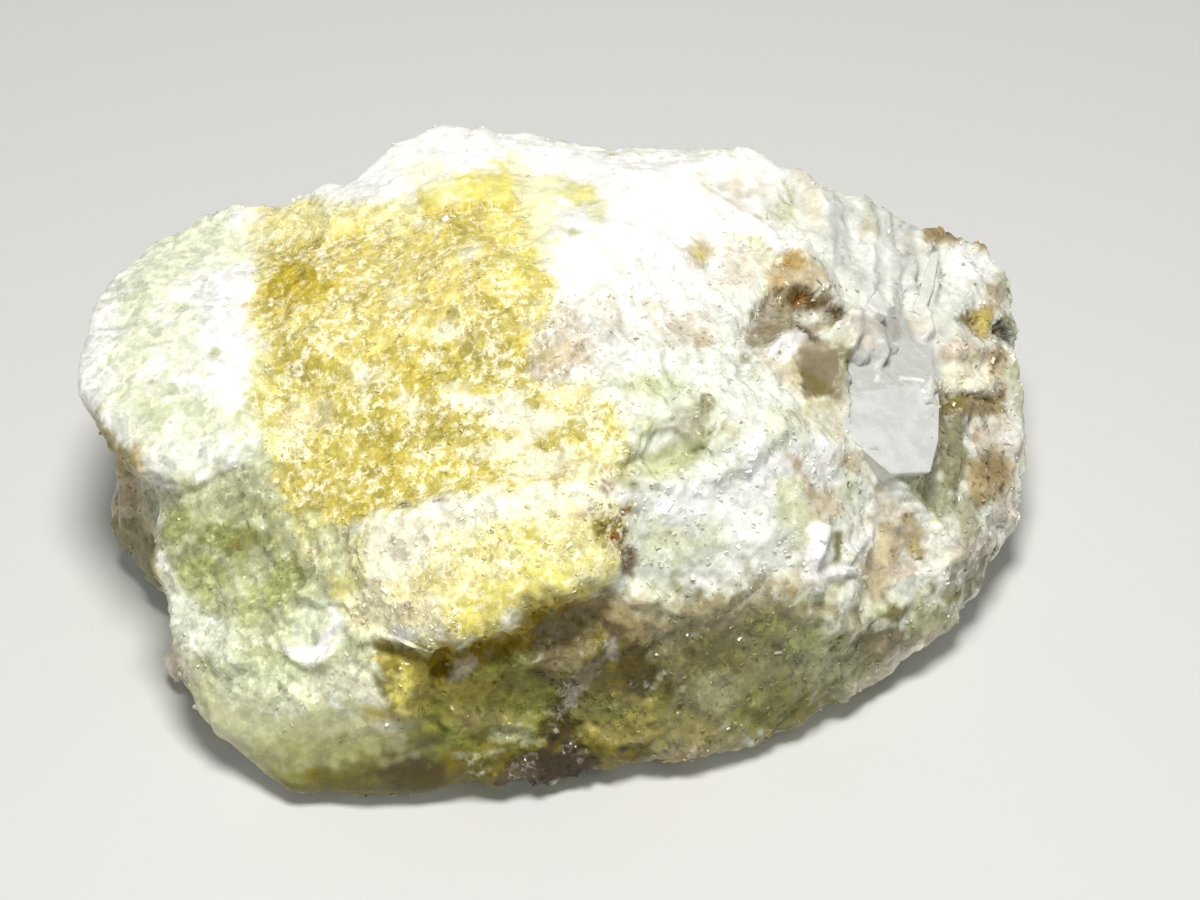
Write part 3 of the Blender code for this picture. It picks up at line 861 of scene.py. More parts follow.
    (UMBER, 0.7, 4, [(606, 620), (618, 624), (626, 640), (616, 662), (602, 676), (602, 650), (608, 634)]),
    (PINK, 0.6, 3, (614, 648, 7, 12)),
    (TAUPE, 0.8, 4, [(604, 660), (600, 676), (572, 692), (556, 690), (580, 668)]),
    (DARK_OLIVE, 0.95, 6, [(618, 638), (654, 642), (664, 676), (650, 700), (624, 690)]),
    (MOSS, 0.6, 5, (650, 706, 12, 16)),
    (KHAKI, 0.9, 7, HOLLOW_RIGHT),
    (STONE, 0.4, 7, HOLLOW_RIGHT),
    (MOSS, 0.5, 6, (612, 712, 24, 12)),
    (KHAKI, 0.4, 6, (640, 728, 18, 12)),
    # painted highlight: a small yellow glint on the olive lump
    (YELLOW, 0.6, 2.5, (591, 728, 5, 8)),
    (PINK, 0.8, 3, [(562, 702), (578, 686), (592, 684), (580, 700), (566, 712)]),
    (UMBER, 0.8, 4, [(538, 722), (560, 718), (570, 730), (584, 744), (552, 748), (540, 736)]),
    (SAGE, 0.6, 5, (512, 734, 16, 7)),
    (MOSS, 0.8, 6, [(404, 730), (450, 724), (470, 744), (440, 756), (414, 748)]),
    (DARK_OLIVE, 0.7, 5, (430, 738, 16, 8)),
    (OLIVE, 0.8, 6, [(450, 756), (500, 754), (488, 790), (450, 792)]),
    (SAGE, 0.5, 2, [(452, 756), (500, 750), (546, 738), (546, 741), (500, 754), (454, 760)]),
    # the nodule's own dark brown, painted darker still as painted shade of the hollow it sits in
    (UMBER, 0.97, 4, NODULE),
    (TAUPE, 0.25, 4, [(496, 766), (520, 758), (540, 770), (530, 788), (500, 788)]),
    (TAN, 0.5, 5, (640, 768, 40, 7)),
    (INK, 0.8, 2, (621, 749, 4, 2)),
    # yellow swelling
    (LEMON, 1.0, 6, BULGE),
    (CREAM, 0.95, 9, [(354, 562), (376, 520), (470, 492), (520, 486), (600, 486), (622, 504), (590, 520),
                      (560, 512), (510, 512), (440, 536), (400, 600), (372, 610)]),
    (CREAM, 1.0, 8, (400, 545, 44, 28)),
    (MILK, 0.6, 8, (470, 505, 50, 10)),
    (CREAM, 0.7, 6, (540, 512, 40, 8)),
    (LIME, 0.7, 7, [(346, 540), (366, 530), (370, 560), (362, 600), (348, 600)]),
    (KHAKI, 0.55, 6, (466, 549, 17, 8)),
    (KHAKI, 0.4, 6, (486, 547, 9, 14)),
    (HONEY, 0.5, 12, (540, 553, 60, 20)),
    (STRAW, 0.6, 10, (450, 580, 50, 16)),
    (STRAW, 0.5, 8, (560, 516, 40, 10)),
    (LIME, 0.6, 4, [(476, 536), (486, 534), (494, 560), (486, 562)]),
    (YELLOW, 0.9, 5, (514, 528, 18, 8)),
    (YELLOW, 0.9, 4, (530, 546, 14, 10)),
    (HONEY, 0.5, 4, (524, 530, 9, 5)),
    (YELLOW, 0.9, 6, [(432, 606), (470, 590), (520, 574), (580, 560), (618, 562), (612, 584), (556, 604),
                      (524, 606),
                      (498, 632), (452, 636)]),
    (HONEY, 0.7, 4, [(500, 596), (530, 594), (536, 604), (510, 610)]),
    (YELLOW, 0.9, 4, [(440, 612), (456, 602), (492, 604), (500, 628), (486, 640), (452, 628)]),
    (HONEY, 0.7, 4, [(446, 618), (480, 622), (494, 636), (480, 640), (450, 630)]),
    # painted highlight: a white glint on the clear crystal at the lip's edge
    (MILK, 0.6, 3, (508, 618, 8, 8)),
    (LEMON, 0.8, 5, (592, 572, 22, 11)),
    (KHAKI, 0.5, 3, (594, 568, 6, 5)),
    (HONEY, 0.6, 3, (582, 590, 10, 4)),
    (KHAKI, 0.95, 3, [(594, 518), (622, 516), (626, 540), (598, 542)]),
    (RUST, 0.95, 2, [(606, 540), (612, 532), (624, 532), (620, 542)]),
    (RUST, 0.9, 2, (625, 510, 5, 3)),
    (TAN, 0.5, 4, (592, 512, 14, 5)),
    (TAN, 0.4, 4, (490, 516, 10, 6)),
    (KHAKI, 0.6, 4, [(376, 650), (400, 650), (430, 656), (424, 664), (384, 660)]),
    (CREAM, 0.95, 6, [(345, 600), (380, 590), (430, 612), (440, 634), (400, 646), (352, 628)]),
    (PINK, 0.4, 4, (430, 608, 26, 8)),
    (STRAW, 0.4, 8, (380, 608, 40, 24)),
    (YELLOW, 0.3, 8, (424, 622, 24, 12)),
    # the facet's own pink, painted pale as a lit face: partly painted light
    (PINK, 0.7, 3, [(446, 672), (456, 660), (476, 654), (482, 658), (466, 678), (450, 682)]),
    # painted highlight: a white glint on the lip's lower edge
    (MILK, 0.8, 3, (400, 634, 14, 7)),
    (PINK, 0.5, 3, (440, 634, 14, 5)),
    (BROWN, 0.9, 2.5, [(600, 470), (612, 484), (610, 494), (602, 492)]),
    (PINK, 0.8, 4, [(598, 466), (608, 462), (618, 490), (608, 498)]),
    (BROWN, 0.9, 3, [(622, 556), (630, 544), (640, 556), (634, 578), (624, 572)]),
    (TAUPE, 0.5, 4, (632, 560, 9, 18)),
    (UMBER, 0.9, 2, (405, 505, 5, 2.5)),
    (UMBER, 0.7, 1.5, [(422, 502), (440, 498), (452, 500), (440, 502)]),
    (UMBER, 0.9, 2, (407, 605, 2.5, 3)),
    # scallop
    (PALE_GREEN, 0.9, 5, SCALLOP),
    (MILK, 1.0, 3, [(284, 640), (296, 648), (316, 640), (332, 620), (337, 606), (342, 618), (336, 642),
                    (324, 656), (306, 661), (290, 654)]),
]
# Where each of these shows, from 0 to 1: amount, softness, and outline or oval.
LACE = [  # cream flecks and veins over honey
    (0.78, 8, HONEY_PATCH), (0.7, 20, [(262, 205), (520, 200), (548, 250), (560, 320), (420, 350),
                                       (262, 340)]),
    (0.35, 8, (298, 284, 34, 20)), (0.45, 10, (386, 458, 24, 40)), (0.5, 10, (312, 408, 34, 20)),
    (0.5, 10, (430, 470, 24, 12)),
    (0.5, 8, (412, 434, 36, 14)), (0.5, 8, (420, 384, 30, 10)), (0.5, 8, (470, 240, 26, 22)),
    (0.6, 8, (508, 292, 26, 16)), (0.65, 8, BULGE), (0.3, 10, FACET), (0.45, 10, (320, 560, 36, 24)),
]
FROST = [  # white frosting over green and grey
    (0.45, 12, GREEN_LEFT), (0.1, 12, FOOT), (0.6, 12, MID_BAND), (0.3, 12, LOW_RIGHT), (0.6, 12, GRAINY),
    (0.4, 10, RIGHT_END), (0.15, 10, PLATE), (0.35, 8, UNDERSIDE), (0.0, 8, HONEY_PATCH),
    (0.0, 8, BULGE), (0.9, 5, UPPER_CRUST),
    (0.7, 5, FOOT_CRUST), (0.8, 5, HOLLOW_CRUST), (0.6, 5, LOWEST_CRUST),
    (0.6, 5, (457, 667, 9, 8)), (0.5, 8, (222, 645, 36, 18)),
]
STAINS = [  # small brown and black specks
    (1.0, 5, [(600, 460), (614, 460), (642, 560), (634, 592), (612, 560)]),
    (0.15, 8, [(740, 275), (850, 280), (850, 345), (750, 345)]), (0.03, 12, GRAINY),
    (0.3, 8, (570, 690, 60, 60)), (0.06, 8, RIGHT_END), (0.6, 6, (170, 494, 34, 12)),
    (0.12, 10, (880, 520, 60, 50)), (0.0, 10, HONEY_PATCH), (0.0, 12, WHITE_TOP), (0.0, 12, PLATE),
    (0.0, 12, GREEN_LEFT),
]
GLASS = [  # smooth clear crystal
    (0.25, 10, GREEN_LEFT), (0.7, 5, GREEN_POCKET), (0.5, 10, UNDER_LIP), (0.3, 12, LOW_RIGHT),
    (0.9, 5, RHOMB_FACE), (0.7, 6, BLADES), (0.7, 10, FOOT), (0.7, 3, (400, 679, 18, 20)),
    (0.8, 4, FACET), (0.8, 12, WHITE_TOP), (0.5, 10, PLATE), (0.1, 8, UNDERSIDE),
    (0.7, 8, (560, 595, 60, 18)), (0.5, 10, MID_BAND),
]
# Each of them, and how much of it there is elsewhere.
AMOUNTS = [(LACE, 0.0), (FROST, 0.3), (STAINS, 0.01), (GLASS, 0.35)]

# How the borders of the paint waver, in pixels, and how ragged they are: layers of (height, size, salt).
PAINT_WAVER = [(9, 4.0, 0), (8, 1.6, 2), (4, 0.7, 4)]
PAINT_RAGGED = [(0.5, 1.4, 51), (0.5, 0.7, 52)]
# The crystals in whose seams the lace gathers: their size and how they are bent, in millimetres.
LACE_CRYSTALS = 1.15
LACE_BEND = [(0.45, 1.0, 0)]
LACE_SWELL, LACE_SWELL_SIZE = 0.12, 2.2  # how much wider or narrower the seams are here and there
DRIFT_SIZE = 2.4  # of the drifts of lace and frost
BROAD = 80  # pixels across a place whose border wavers in full
# How much the crystals' own shades vary the colour, how much painted shade darkens their seams and painted
# light lightens their tops, and how far glass evens that out.
MIDDLING_MOTTLE, SMALL_MOTTLE, PAINTED_SEAM_SHADE, GLASS_EVENNESS = 0.14, 0.12, 0.18, 0.7
COLOUR_LIMITS = (0.001, 0.97)  # darkest and brightest


def screen(colour):
    """A screen colour as the linear values that a shader takes."""
    value = np.array(colour) / 255
    return np.where(value <= 0.04045, value / 12.92, ((value + 0.055) / 1.055) ** 2.4)


def breadth(outline):
    """How far a place's border may waver: 1 for a broad one and less for a small one."""
    if isinstance(outline, tuple):
        return min(1, 2 * min(outline[2:]) / BROAD)
    return min(1, np.ptp(outline, 0).min() / BROAD)


def clouded(points):
    """The colour under the paint at each point."""
    colour = np.tile(screen(PEARL), (len(points), 1))
    for order, (shade, size, low, high, strength) in enumerate(CLOUDS):
        cloud = layered(points, size, CLOUD_SALT + 3 * order)
        lay(colour, strength * step(low, high, cloud), screen(shade))
    return colour


def amount_at(spots, places, elsewhere, seen, ragged):
    """How much of one thing shows at each spot, from 0 to 1."""
    amount = np.full(len(spots), elsewhere)
    for strength, softness, outline in places:
        amount += covered(spots, outline, -softness, softness, ragged) * seen * (strength - amount)
    return amount


def painted(points, seen, numbers, relief):
    """The stone's colour at each point, with painted shade in the seams between crystals and painted
    light on their tops, and how much lace, frost, stains and glass it has there."""
    spots = in_picture(points)
    ragged = noise_sum(points, PAINT_RAGGED)
    waver = noise_ways(points, PAINT_WAVER, PAINT_SALTS)
    colour = clouded(points)
    for shade, strength, softness, outline in PAINT:
        there = covered(spots + waver * breadth(outline), outline, -softness, softness, ragged)
        lay(colour, strength * there * seen, screen(shade))
    lace, frost, stains, glass = (amount_at(spots + waver, places, elsewhere, seen, ragged)
                                  for places, elsewhere in AMOUNTS)
    # lace gathers in the seams between crystals, frost on their tops, and both in drifts
    bend = noise_ways(points, LACE_BEND, LACE_SALTS)
    swollen, _ = crystals(points + bend, LACE_CRYSTALS, LACE_CRYSTAL_SALT)
    swollen += LACE_SWELL * smooth(points, LACE_SWELL_SIZE, LACE_SWELL_SALT)
    seams = step(0.20, -0.02, swollen)
    drifts = step(0.0, 0.7, layered(points, DRIFT_SIZE, DRIFT_SALT))
    lace *= np.clip(0.16 + 0.5 * seams + 0.75 * drifts, 0, 1)
    frost *= np.clip(0.2 + 0.6 * relief + 0.9 * drifts, 0, 1)
    # crystals of two sizes, each with its own shade, and painted shade in the seams with painted light on the
    # tops
    _, middling, small, _ = numbers
    tone_and_shade = MIDDLING_MOTTLE * (middling - 0.5) + SMALL_MOTTLE * (small - 0.5) + PAINTED_SEAM_SHADE * relief
    tone_and_shade = 1 + (1 - GLASS_EVENNESS * glass) * tone_and_shade
    return np.clip(colour * tone_and_shade[:, None], *COLOUR_LIMITS), [lace, frost, stains, glass]


def add_colour(mesh, name, colours):
    """A colour on each point of a mesh, which its material reads by name."""
    layer = mesh.color_attributes.new(name, "FLOAT_COLOR", "POINT")
    full = np.ones((len(mesh.vertices), 4), np.float32)
    full[:, :colours.shape[1]] = colours
    layer.data.foreach_set("color", full.ravel())


# ================================================================ materials
DATOLITE_IOR = 1.65
INNER_LIGHT = 0.8 * MM  # how far light goes under the stone's skin
BROAD_CELLS, SMALL_CELLS = 1.2, 3.2  # crystals of the stone's material in each millimetre
SWAY, SWAY_REACH = 1.3, (1.1, 1.1, 1.1)  # the noise that bends the broad ones, and how far in millimetres
WEB = 1.7  # scale of the noise that makes their shades and crusts ragged


def feed(tree, node, inputs):
    """Set a node's inputs, by name or number, each to a value or to the output that feeds it."""
    for socket, value in inputs.items():
        if isinstance(value, bpy.types.NodeSocket):
            tree.links.new(value, node.inputs[socket])
        else:
            node.inputs[socket].default_value = value


def add(tree, kind, inputs=None, **settings):
    """A shader node with some inputs and settings of its own."""
    node = tree.nodes.new(kind)
    for name, value in settings.items():
        setattr(node, name, value)
    feed(tree, node, inputs or {})
    return node


def sums(tree, operation, *values):
    """A number worked out from others."""
    return add(tree, "ShaderNodeMath", dict(enumerate(values)), operation=operation).outputs[0]


def vectors(tree, operation, *values):
    """A vector worked out from others."""
    return add(tree, "ShaderNodeVectorMath", dict(enumerate(values)), operation=operation).outputs[0]


def scaled(tree, vector, factor):
    return add(tree, "ShaderNodeVectorMath", {0: vector, 3: factor}, operation="SCALE").outputs[0]


def ramp(tree, value, low, high, to_low=0.0, to_high=1.0):
    """value from low to high, eased, as to_low to to_high."""
    return add(tree, "ShaderNodeMapRange", {0: value, 1: low, 2: high, 3: to_low, 4: to_high},
               interpolation_type="SMOOTHSTEP").outputs[0]


def opaque(colour):
    """A screen colour as a colour socket takes it."""
    return (*screen(colour), 1)


def blend_colour(tree, part, under, over):
    """A colour part of the way from one to another."""
    return add(tree, "ShaderNodeMix", {0: part, 6: under, 7: over}, data_type="RGBA").outputs[2]


def split(tree, colour):
    """The three parts of a colour, as numbers."""
    return list(add(tree, "ShaderNodeSeparateColor", {0: colour}).outputs)


def noise(tree, place_of, scale, detail, **more):
    """A noise texture; more are its other inputs."""
    return add(tree, "ShaderNodeTexNoise", {"Vector": place_of, "Scale": scale, "Detail": detail, **more})


def cells_in(tree, place_of, scale, **settings):
    """A texture of cells, each with a colour of its own."""
    return add(tree, "ShaderNodeTexVoronoi", {"Vector": place_of, "Scale": scale}, **settings)


def in_millimetres(tree):
    """Places on the stone, in millimetres."""
    return scaled(tree, add(tree, "ShaderNodeTexCoord").outputs["Object"], 1 / MM)


def colour_named(tree, name):
    """A mesh's colour of this name, as Color and Alpha."""
    return add(tree, "ShaderNodeVertexColor", layer_name=name).outputs


def normal_of_skin(tree):
    return add(tree, "ShaderNodeNewGeometry").outputs["Normal"]


def new_material(name):
    """A material, its nodes and its shader."""
    material = bpy.data.materials.new(name)
    material.use_nodes = True
    return material, material.node_tree, material.node_tree.nodes["Principled BSDF"]


def shaded(tree, tint, glass, shades, web, borders):
    """The paint with a shade of its own for each crystal and a painted highlight along its edges, both less
    so where the stone is clear and smooth.
    """
    broad, small = shades
    shade = sums(tree, "MULTIPLY", ramp(tree, broad, 0.0, 1.0, 0.88, 1.12),
                 ramp(tree, small, 0.0, 1.0, 0.94, 1.06))
    shade = sums(tree, "MULTIPLY", shade, ramp(tree, web, 0.3, 0.7, 0.86, 1.14))
    # painted highlight: each crystal lighter towards its edges, as where edges catch the light
    shade = sums(tree, "MULTIPLY", shade, ramp(tree, borders, 0.10, 0.0, 1.0, 1.12))
    even = ramp(tree, glass, 0.0, 1.0, 1.0, 0.45)
    shade = sums(tree, "MULTIPLY_ADD", sums(tree, "SUBTRACT", shade, 1.0), even, 1.0)
    return vectors(tree, "MULTIPLY", tint, shade)


def frosted(tree, colour, lace, frost, web, borders):
    """A colour with cream crusts in its seams and white rime over it, both ragged."""
    seams = ramp(tree, borders, 0.16, 0.0, 0.6, 0.95)
    rough_edge = sums(tree, "MULTIPLY", sums(tree, "SUBTRACT", web, 0.5), 3.0)
    crust = ramp(tree, sums(tree, "MULTIPLY_ADD", lace, seams, rough_edge), 0.2, 0.85)
    crust = sums(tree, "MULTIPLY", crust, ramp(tree, lace, 0.0, 0.2))
    colour = blend_colour(tree, sums(tree, "MULTIPLY", crust, 0.85), colour, opaque(CREAM))
    rime = ramp(tree, sums(tree, "MULTIPLY_ADD", rough_edge, 0.7, frost), 0.25, 0.95, 0.0, 0.8)
    rime = sums(tree, "MULTIPLY", rime, ramp(tree, frost, 0.0, 0.3))
    return blend_colour(tree, rime, colour, opaque(MILK))


def tilted(tree, small_ways, broad_ways, glass):
    """The skin's normal, tilted another way on each crystal, least where the stone is smooth."""
    tilt = vectors(tree, "SUBTRACT", vectors(tree, "ADD", small_ways, broad_ways), (1.0, 1.0, 1.0))
    tilt = scaled(tree, tilt, ramp(tree, glass, 0.0, 1.0, 0.5, 0.1))
    return vectors(tree, "NORMALIZE", vectors(tree, "ADD", normal_of_skin(tree), tilt))


def stone_material():
    """Colour from the paint, broken up by small crystals that each catch the light their own way."""
    material, tree, shader = new_material("datolite")
    place_of = in_millimetres(tree)
    tint = colour_named(tree, "tint")["Color"]
    amounts = colour_named(tree, "grain")
    lace, frost, stains = split(tree, amounts["Color"])
    glass = amounts["Alpha"]

    sway = noise(tree, place_of, SWAY, 4.0).outputs["Color"]
    bent = vectors(tree, "MULTIPLY_ADD", sway, SWAY_REACH, place_of)
    web = noise(tree, place_of, WEB, 5.0, Roughness=0.72, Distortion=0.5).outputs["Fac"]
    broad = cells_in(tree, bent, BROAD_CELLS).outputs["Color"]
    borders = cells_in(tree, bent, BROAD_CELLS, feature="DISTANCE_TO_EDGE").outputs["Distance"]
    small = cells_in(tree, place_of, SMALL_CELLS).outputs["Color"]
    first, _, third = split(tree, small)

    colour = shaded(tree, tint, glass, (split(tree, broad)[0], first), web, borders)
    colour = frosted(tree, colour, lace, frost, web, borders)
    speck = sums(tree, "LESS_THAN", third, sums(tree, "MULTIPLY", stains, 0.07))
    colour = blend_colour(tree, sums(tree, "MULTIPLY", speck, 0.6), colour, opaque(BROWN))
    rough = sums(tree, "MULTIPLY_ADD", glass, -0.1, ramp(tree, third, 0.8, 1.0, 0.52, 0.2))
    feed(tree, shader, {
        "Base Color": colour, "Normal": tilted(tree, small, broad, glass), "Roughness": rough,
        "IOR": DATOLITE_IOR, "Specular IOR Level": 0.3, "Subsurface Weight": 0.35,
        "Subsurface Radius": (1.0, 0.95, 0.6), "Subsurface Scale": INNER_LIGHT})
    return material


def grain_material():
    """Colour from the paint, a little cloudy, on crystals smooth enough to glint."""
    material, tree, shader = new_material("datolite_grain")
    tint = colour_named(tree, "tint")["Color"]
    cloud = noise(tree, in_millimetres(tree), 5.0, 1.0).outputs["Fac"]
    feed(tree, shader, {
        "Base Color": vectors(tree, "MULTIPLY", tint, ramp(tree, cloud, 0.3, 0.7, 0.88, 1.1)),
        "Roughness": ramp(tree, cloud, 0.35, 0.65, 0.18, 0.45), "IOR": DATOLITE_IOR})
    return material


def glassy_material(name, see_through, roughness):
    """Crystal with cleavage flaws: light goes in and comes out dimmed by its colour."""
    material, tree, shader = new_material(name)
    tint = colour_named(tree, "tint")["Color"]
    place_of = in_millimetres(tree)
    flaws = noise(tree, place_of, 0.7, 5.0, Roughness=0.6).outputs
    streaks = noise(tree, vectors(tree, "MULTIPLY", place_of, (0.3, 2.6, 2.6)), 1.0, 3.0).outputs["Fac"]
    colour = blend_colour(tree, ramp(tree, flaws["Fac"], 0.3, 0.7, 0.55, 0.0), tint, opaque(ICE))
    bright = sums(tree, "MULTIPLY", ramp(tree, streaks, 0.55, 0.68), 0.7)
    colour = blend_colour(tree, bright, colour, opaque(MILK))
    waves = vectors(tree, "SUBTRACT", flaws["Color"], (0.5, 0.5, 0.5))
    waves = vectors(tree, "MULTIPLY_ADD", waves, (0.35, 0.35, 0.35), normal_of_skin(tree))
    feed(tree, shader, {
        "Base Color": colour, "Normal": vectors(tree, "NORMALIZE", waves),
        "Roughness": ramp(tree, flaws["Fac"], 0.35, 0.65, roughness, roughness + 0.25),
        "Transmission Weight": see_through, "IOR": DATOLITE_IOR})
    return material


# ================================================================ loose and half-grown grains
MOST_GRAINS = 19000  # in one piece
# How many grains there are for each square millimetre and how long they are, in millimetres, with the
# softness and the outline of each place.
CROWDS = [
    (0.8, 0.24, 12, WHITE_TOP), (0.2, 0.2, 10, PLATE), (6, 0.2, 12, HONEY_PATCH), (8, 0.22, 10, BULGE),
    (0, 0.26, 5, FACET), (3, 0.24, 14, GREEN_LEFT), (0.6, 0.2, 12, FOOT), (9, 0.3, 14, GRAINY),
    (8, 0.3, 14, MID_BAND), (2, 0.3, 10, BLADES), (8, 0.32, 10, RIGHT_END), (6, 0.3, 14, LOW_RIGHT),
    (4, 0.28, 8, UNDERSIDE), (3, 0.3, 6, GREEN_POCKET), (8, 0.3, 6, BROWN_HOLLOW),
    (0, 0.3, 4, BLOCK_SEAT), (0, 0.3, 4, RHOMB_FACE), (0.2, 0.3, 4, SCALLOP),
    (14, 0.26, 5, UPPER_CRUST), (14, 0.26, 5, FOOT_CRUST), (14, 0.28, 5, HOLLOW_CRUST),
    (12, 0.26, 5, LOWEST_CRUST),
]
OPEN_CROWD = (3.0, 0.3)
CROWD_RAGGED = [(0.6, 2.2, 73), (0.4, 1.0, 74)]  # layers of (height, size, salt)
CROWD_DRIFTS = 2.0  # size of the drifts of grains
GRAIN_SHADES = (0.88, 1.12)  # darkest and lightest, beside the skin
LENGTH_SPREAD = 0.3  # of the logarithm of their lengths
TURNS = 0.45  # how far grains tilt from lying flat
SUNK = 0.12  # most of a grain's length that its middle is above or below the skin
LEAST_STRETCH, MOST_STRETCH = (0.8, 0.3, 0.25), (1.5, 0.9, 0.6)  # along, across and through a grain
PRISM_CORNERS = [(0.5, 0), (-0.25, 0.43), (-0.25, -0.43)]
PRISM = (np.array([(x, y, z) for z in (0.5, -0.5) for x, y in PRISM_CORNERS]),
         [(0, 1, 2), (5, 4, 3), (0, 3, 4, 1), (1, 4, 5, 2), (2, 5, 3, 0)])
BLOCK = (np.array([(x, y, z) for z in (-0.4, 0.4) for y in (-0.4, 0.4) for x in (-0.4, 0.4)]),
         [(0, 2, 3, 1), (4, 5, 7, 6), (0, 1, 5, 4), (2, 6, 7, 3), (0, 4, 6, 2), (1, 3, 7, 5)])


def crowding(points, seen, lace):
    """Grains for each square millimetre, and their length, at each point."""
    spots = in_picture(points)
    ragged = noise_sum(points, CROWD_RAGGED)
    found = np.tile(OPEN_CROWD, (len(points), 1))
    for crowd, length, softness, outline in CROWDS:
        lay(found, covered(spots, outline, -softness, softness, ragged) * seen, (crowd, length))
    drifts = np.clip(0.8 + 0.9 * layered(points, CROWD_DRIFTS, CROWD_SALT), 0.1, 2.0)
    return found[:, 0] * (drifts * (0.25 + 0.75 * seen)) * (0.3 + lace), found[:, 1]


def scattered(points, triangles, crowd, chance):
    """Random places on the skin, crowd of them for each square millimetre: the corners of the triangle
    that each is on, and their shares in it."""
    a, b, c = (points[triangles[:, i]] for i in range(3))
    area = np.linalg.norm(np.cross(b - a, c - a), axis=1) / 2
    total = np.cumsum(area * crowd[triangles].mean(1))
    count = int(total[-1])
    hit = np.searchsorted(total, chance.uniform(0, total[-1], count))
    return triangles[np.minimum(hit, len(triangles) - 1)], chance.dirichlet((1, 1, 1), count)


def mixed(values, chosen, shares):
    """Values at places on the skin, from those at the corners of their triangles."""
    if values.ndim == 1:
        return (values[chosen] * shares).sum(1)
    return (values[chosen] * shares[:, :, None]).sum(1)


def lying(outward, chance):
    """For each grain, its length, width and thickness directions: nearly flat on the skin."""
    thick = unit(outward + TURNS * chance.normal(size=outward.shape))
    length = unit(np.cross(thick, chance.normal(size=outward.shape)))
    return np.stack([length, np.cross(thick, length), thick], 2)


def grain_shapes(places, outward, lengths, chance):
    """Corners of small stretched prisms and blocks, half and half, their sides, and which grain each corner
    is on."""
    halves = np.array_split(np.arange(len(places)), [len(places) // 2])
    corners, sides, owners, first = [], [], [], 0
    for part, (shape, faces) in zip(halves, (PRISM, BLOCK)):
        stretch = chance.uniform(LEAST_STRETCH, MOST_STRETCH, (len(part), 3))[:, None]
        turned = lying(outward[part], chance)
        moved = np.einsum("nij,nkj->nki", turned, shape * stretch * lengths[part][:, None, None])
        corners.append((moved + places[part][:, None]).reshape(-1, 3))
        starts = first + np.arange(len(part))[:, None] * len(shape)
        sides += [(starts + np.array(face)).astype(np.int32) for face in faces]
        owners.append(np.repeat(part, len(shape)))
        first += len(part) * len(shape)
    return np.concatenate(corners), sides, np.concatenate(owners)


def mesh_from(name, corners, sides):
    """A flat-shaded mesh from corners in millimetres and arrays of sides, one array for each row of them."""
    mesh = bpy.data.meshes.new(name)
    sizes = np.concatenate([np.full(len(rows), rows.shape[1]) for rows in sides])
    around = np.concatenate([rows.ravel() for rows in sides])
    mesh.vertices.add(len(corners))
    mesh.vertices.foreach_set("co", (corners * MM).astype(np.float32).ravel())
    mesh.loops.add(len(around))
    mesh.loops.foreach_set("vertex_index", around.astype(np.int32))
    mesh.polygons.add(len(sizes))
    mesh.polygons.foreach_set("loop_start", (np.cumsum(sizes) - sizes).astype(np.int32))
    mesh.update(calc_edges=True)
    mesh.shade_flat()
    return mesh


def grain_colours(skin, lace, frost, chance):
    """A colour for each grain: the skin's, darker or lighter, and whiter where there is lace or frost."""
    found = skin * chance.uniform(*GRAIN_SHADES, (len(skin), 1))
    most = np.clip(1.3 * lace + 0.5 * step(0.15, 0.8, frost), 0, 1)
    white = most * chance.uniform(0.0, 1.0, len(skin)) ** 2
    lay(found, white, np.where(lace[:, None] > 0.15, screen(CREAM), screen(MILK)))
    return np.clip(found, *COLOUR_LIMITS)


def add_grains(points, triangles, seen, colour, amounts):
    """Grains all over the stone, each coloured as the skin is there or frosted over."""
    chance = np.random.default_rng(GRAIN_SEED)
    lace, frost, _, _ = amounts
    crowd, lengths = crowding(points, seen, lace)
    chosen, shares = scattered(points, triangles, crowd, chance)
    count = len(chosen)
    outward = mixed(normals_of(points, triangles), chosen, shares)
    length = mixed(lengths, chosen, shares) * chance.lognormal(0, LENGTH_SPREAD, count)
    raised = length * chance.uniform(-SUNK, SUNK, count)
    places = mixed(points, chosen, shares) + outward * raised[:, None]
    places[:, 2] = np.maximum(places[:, 2], length)
    tint = grain_colours(*(mixed(values, chosen, shares) for values in (colour, lace, frost)), chance)
    material = grain_material()
    for number, which in enumerate(np.array_split(np.arange(count), -(-count // MOST_GRAINS))):
        name = f"datolite_grains_{number + 1}"
        corners, sides, owners = grain_shapes(places[which], outward[which], length[which], chance)
        mesh = mesh_from(name, corners, sides)
        add_colour(mesh, "tint", tint[which][owners])
        mesh.materials.append(material)
        grains = place(name, mesh)
        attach(grains, "root")


# ================================================================ single crystals
BLOCK_MIDDLE = (895, 400)
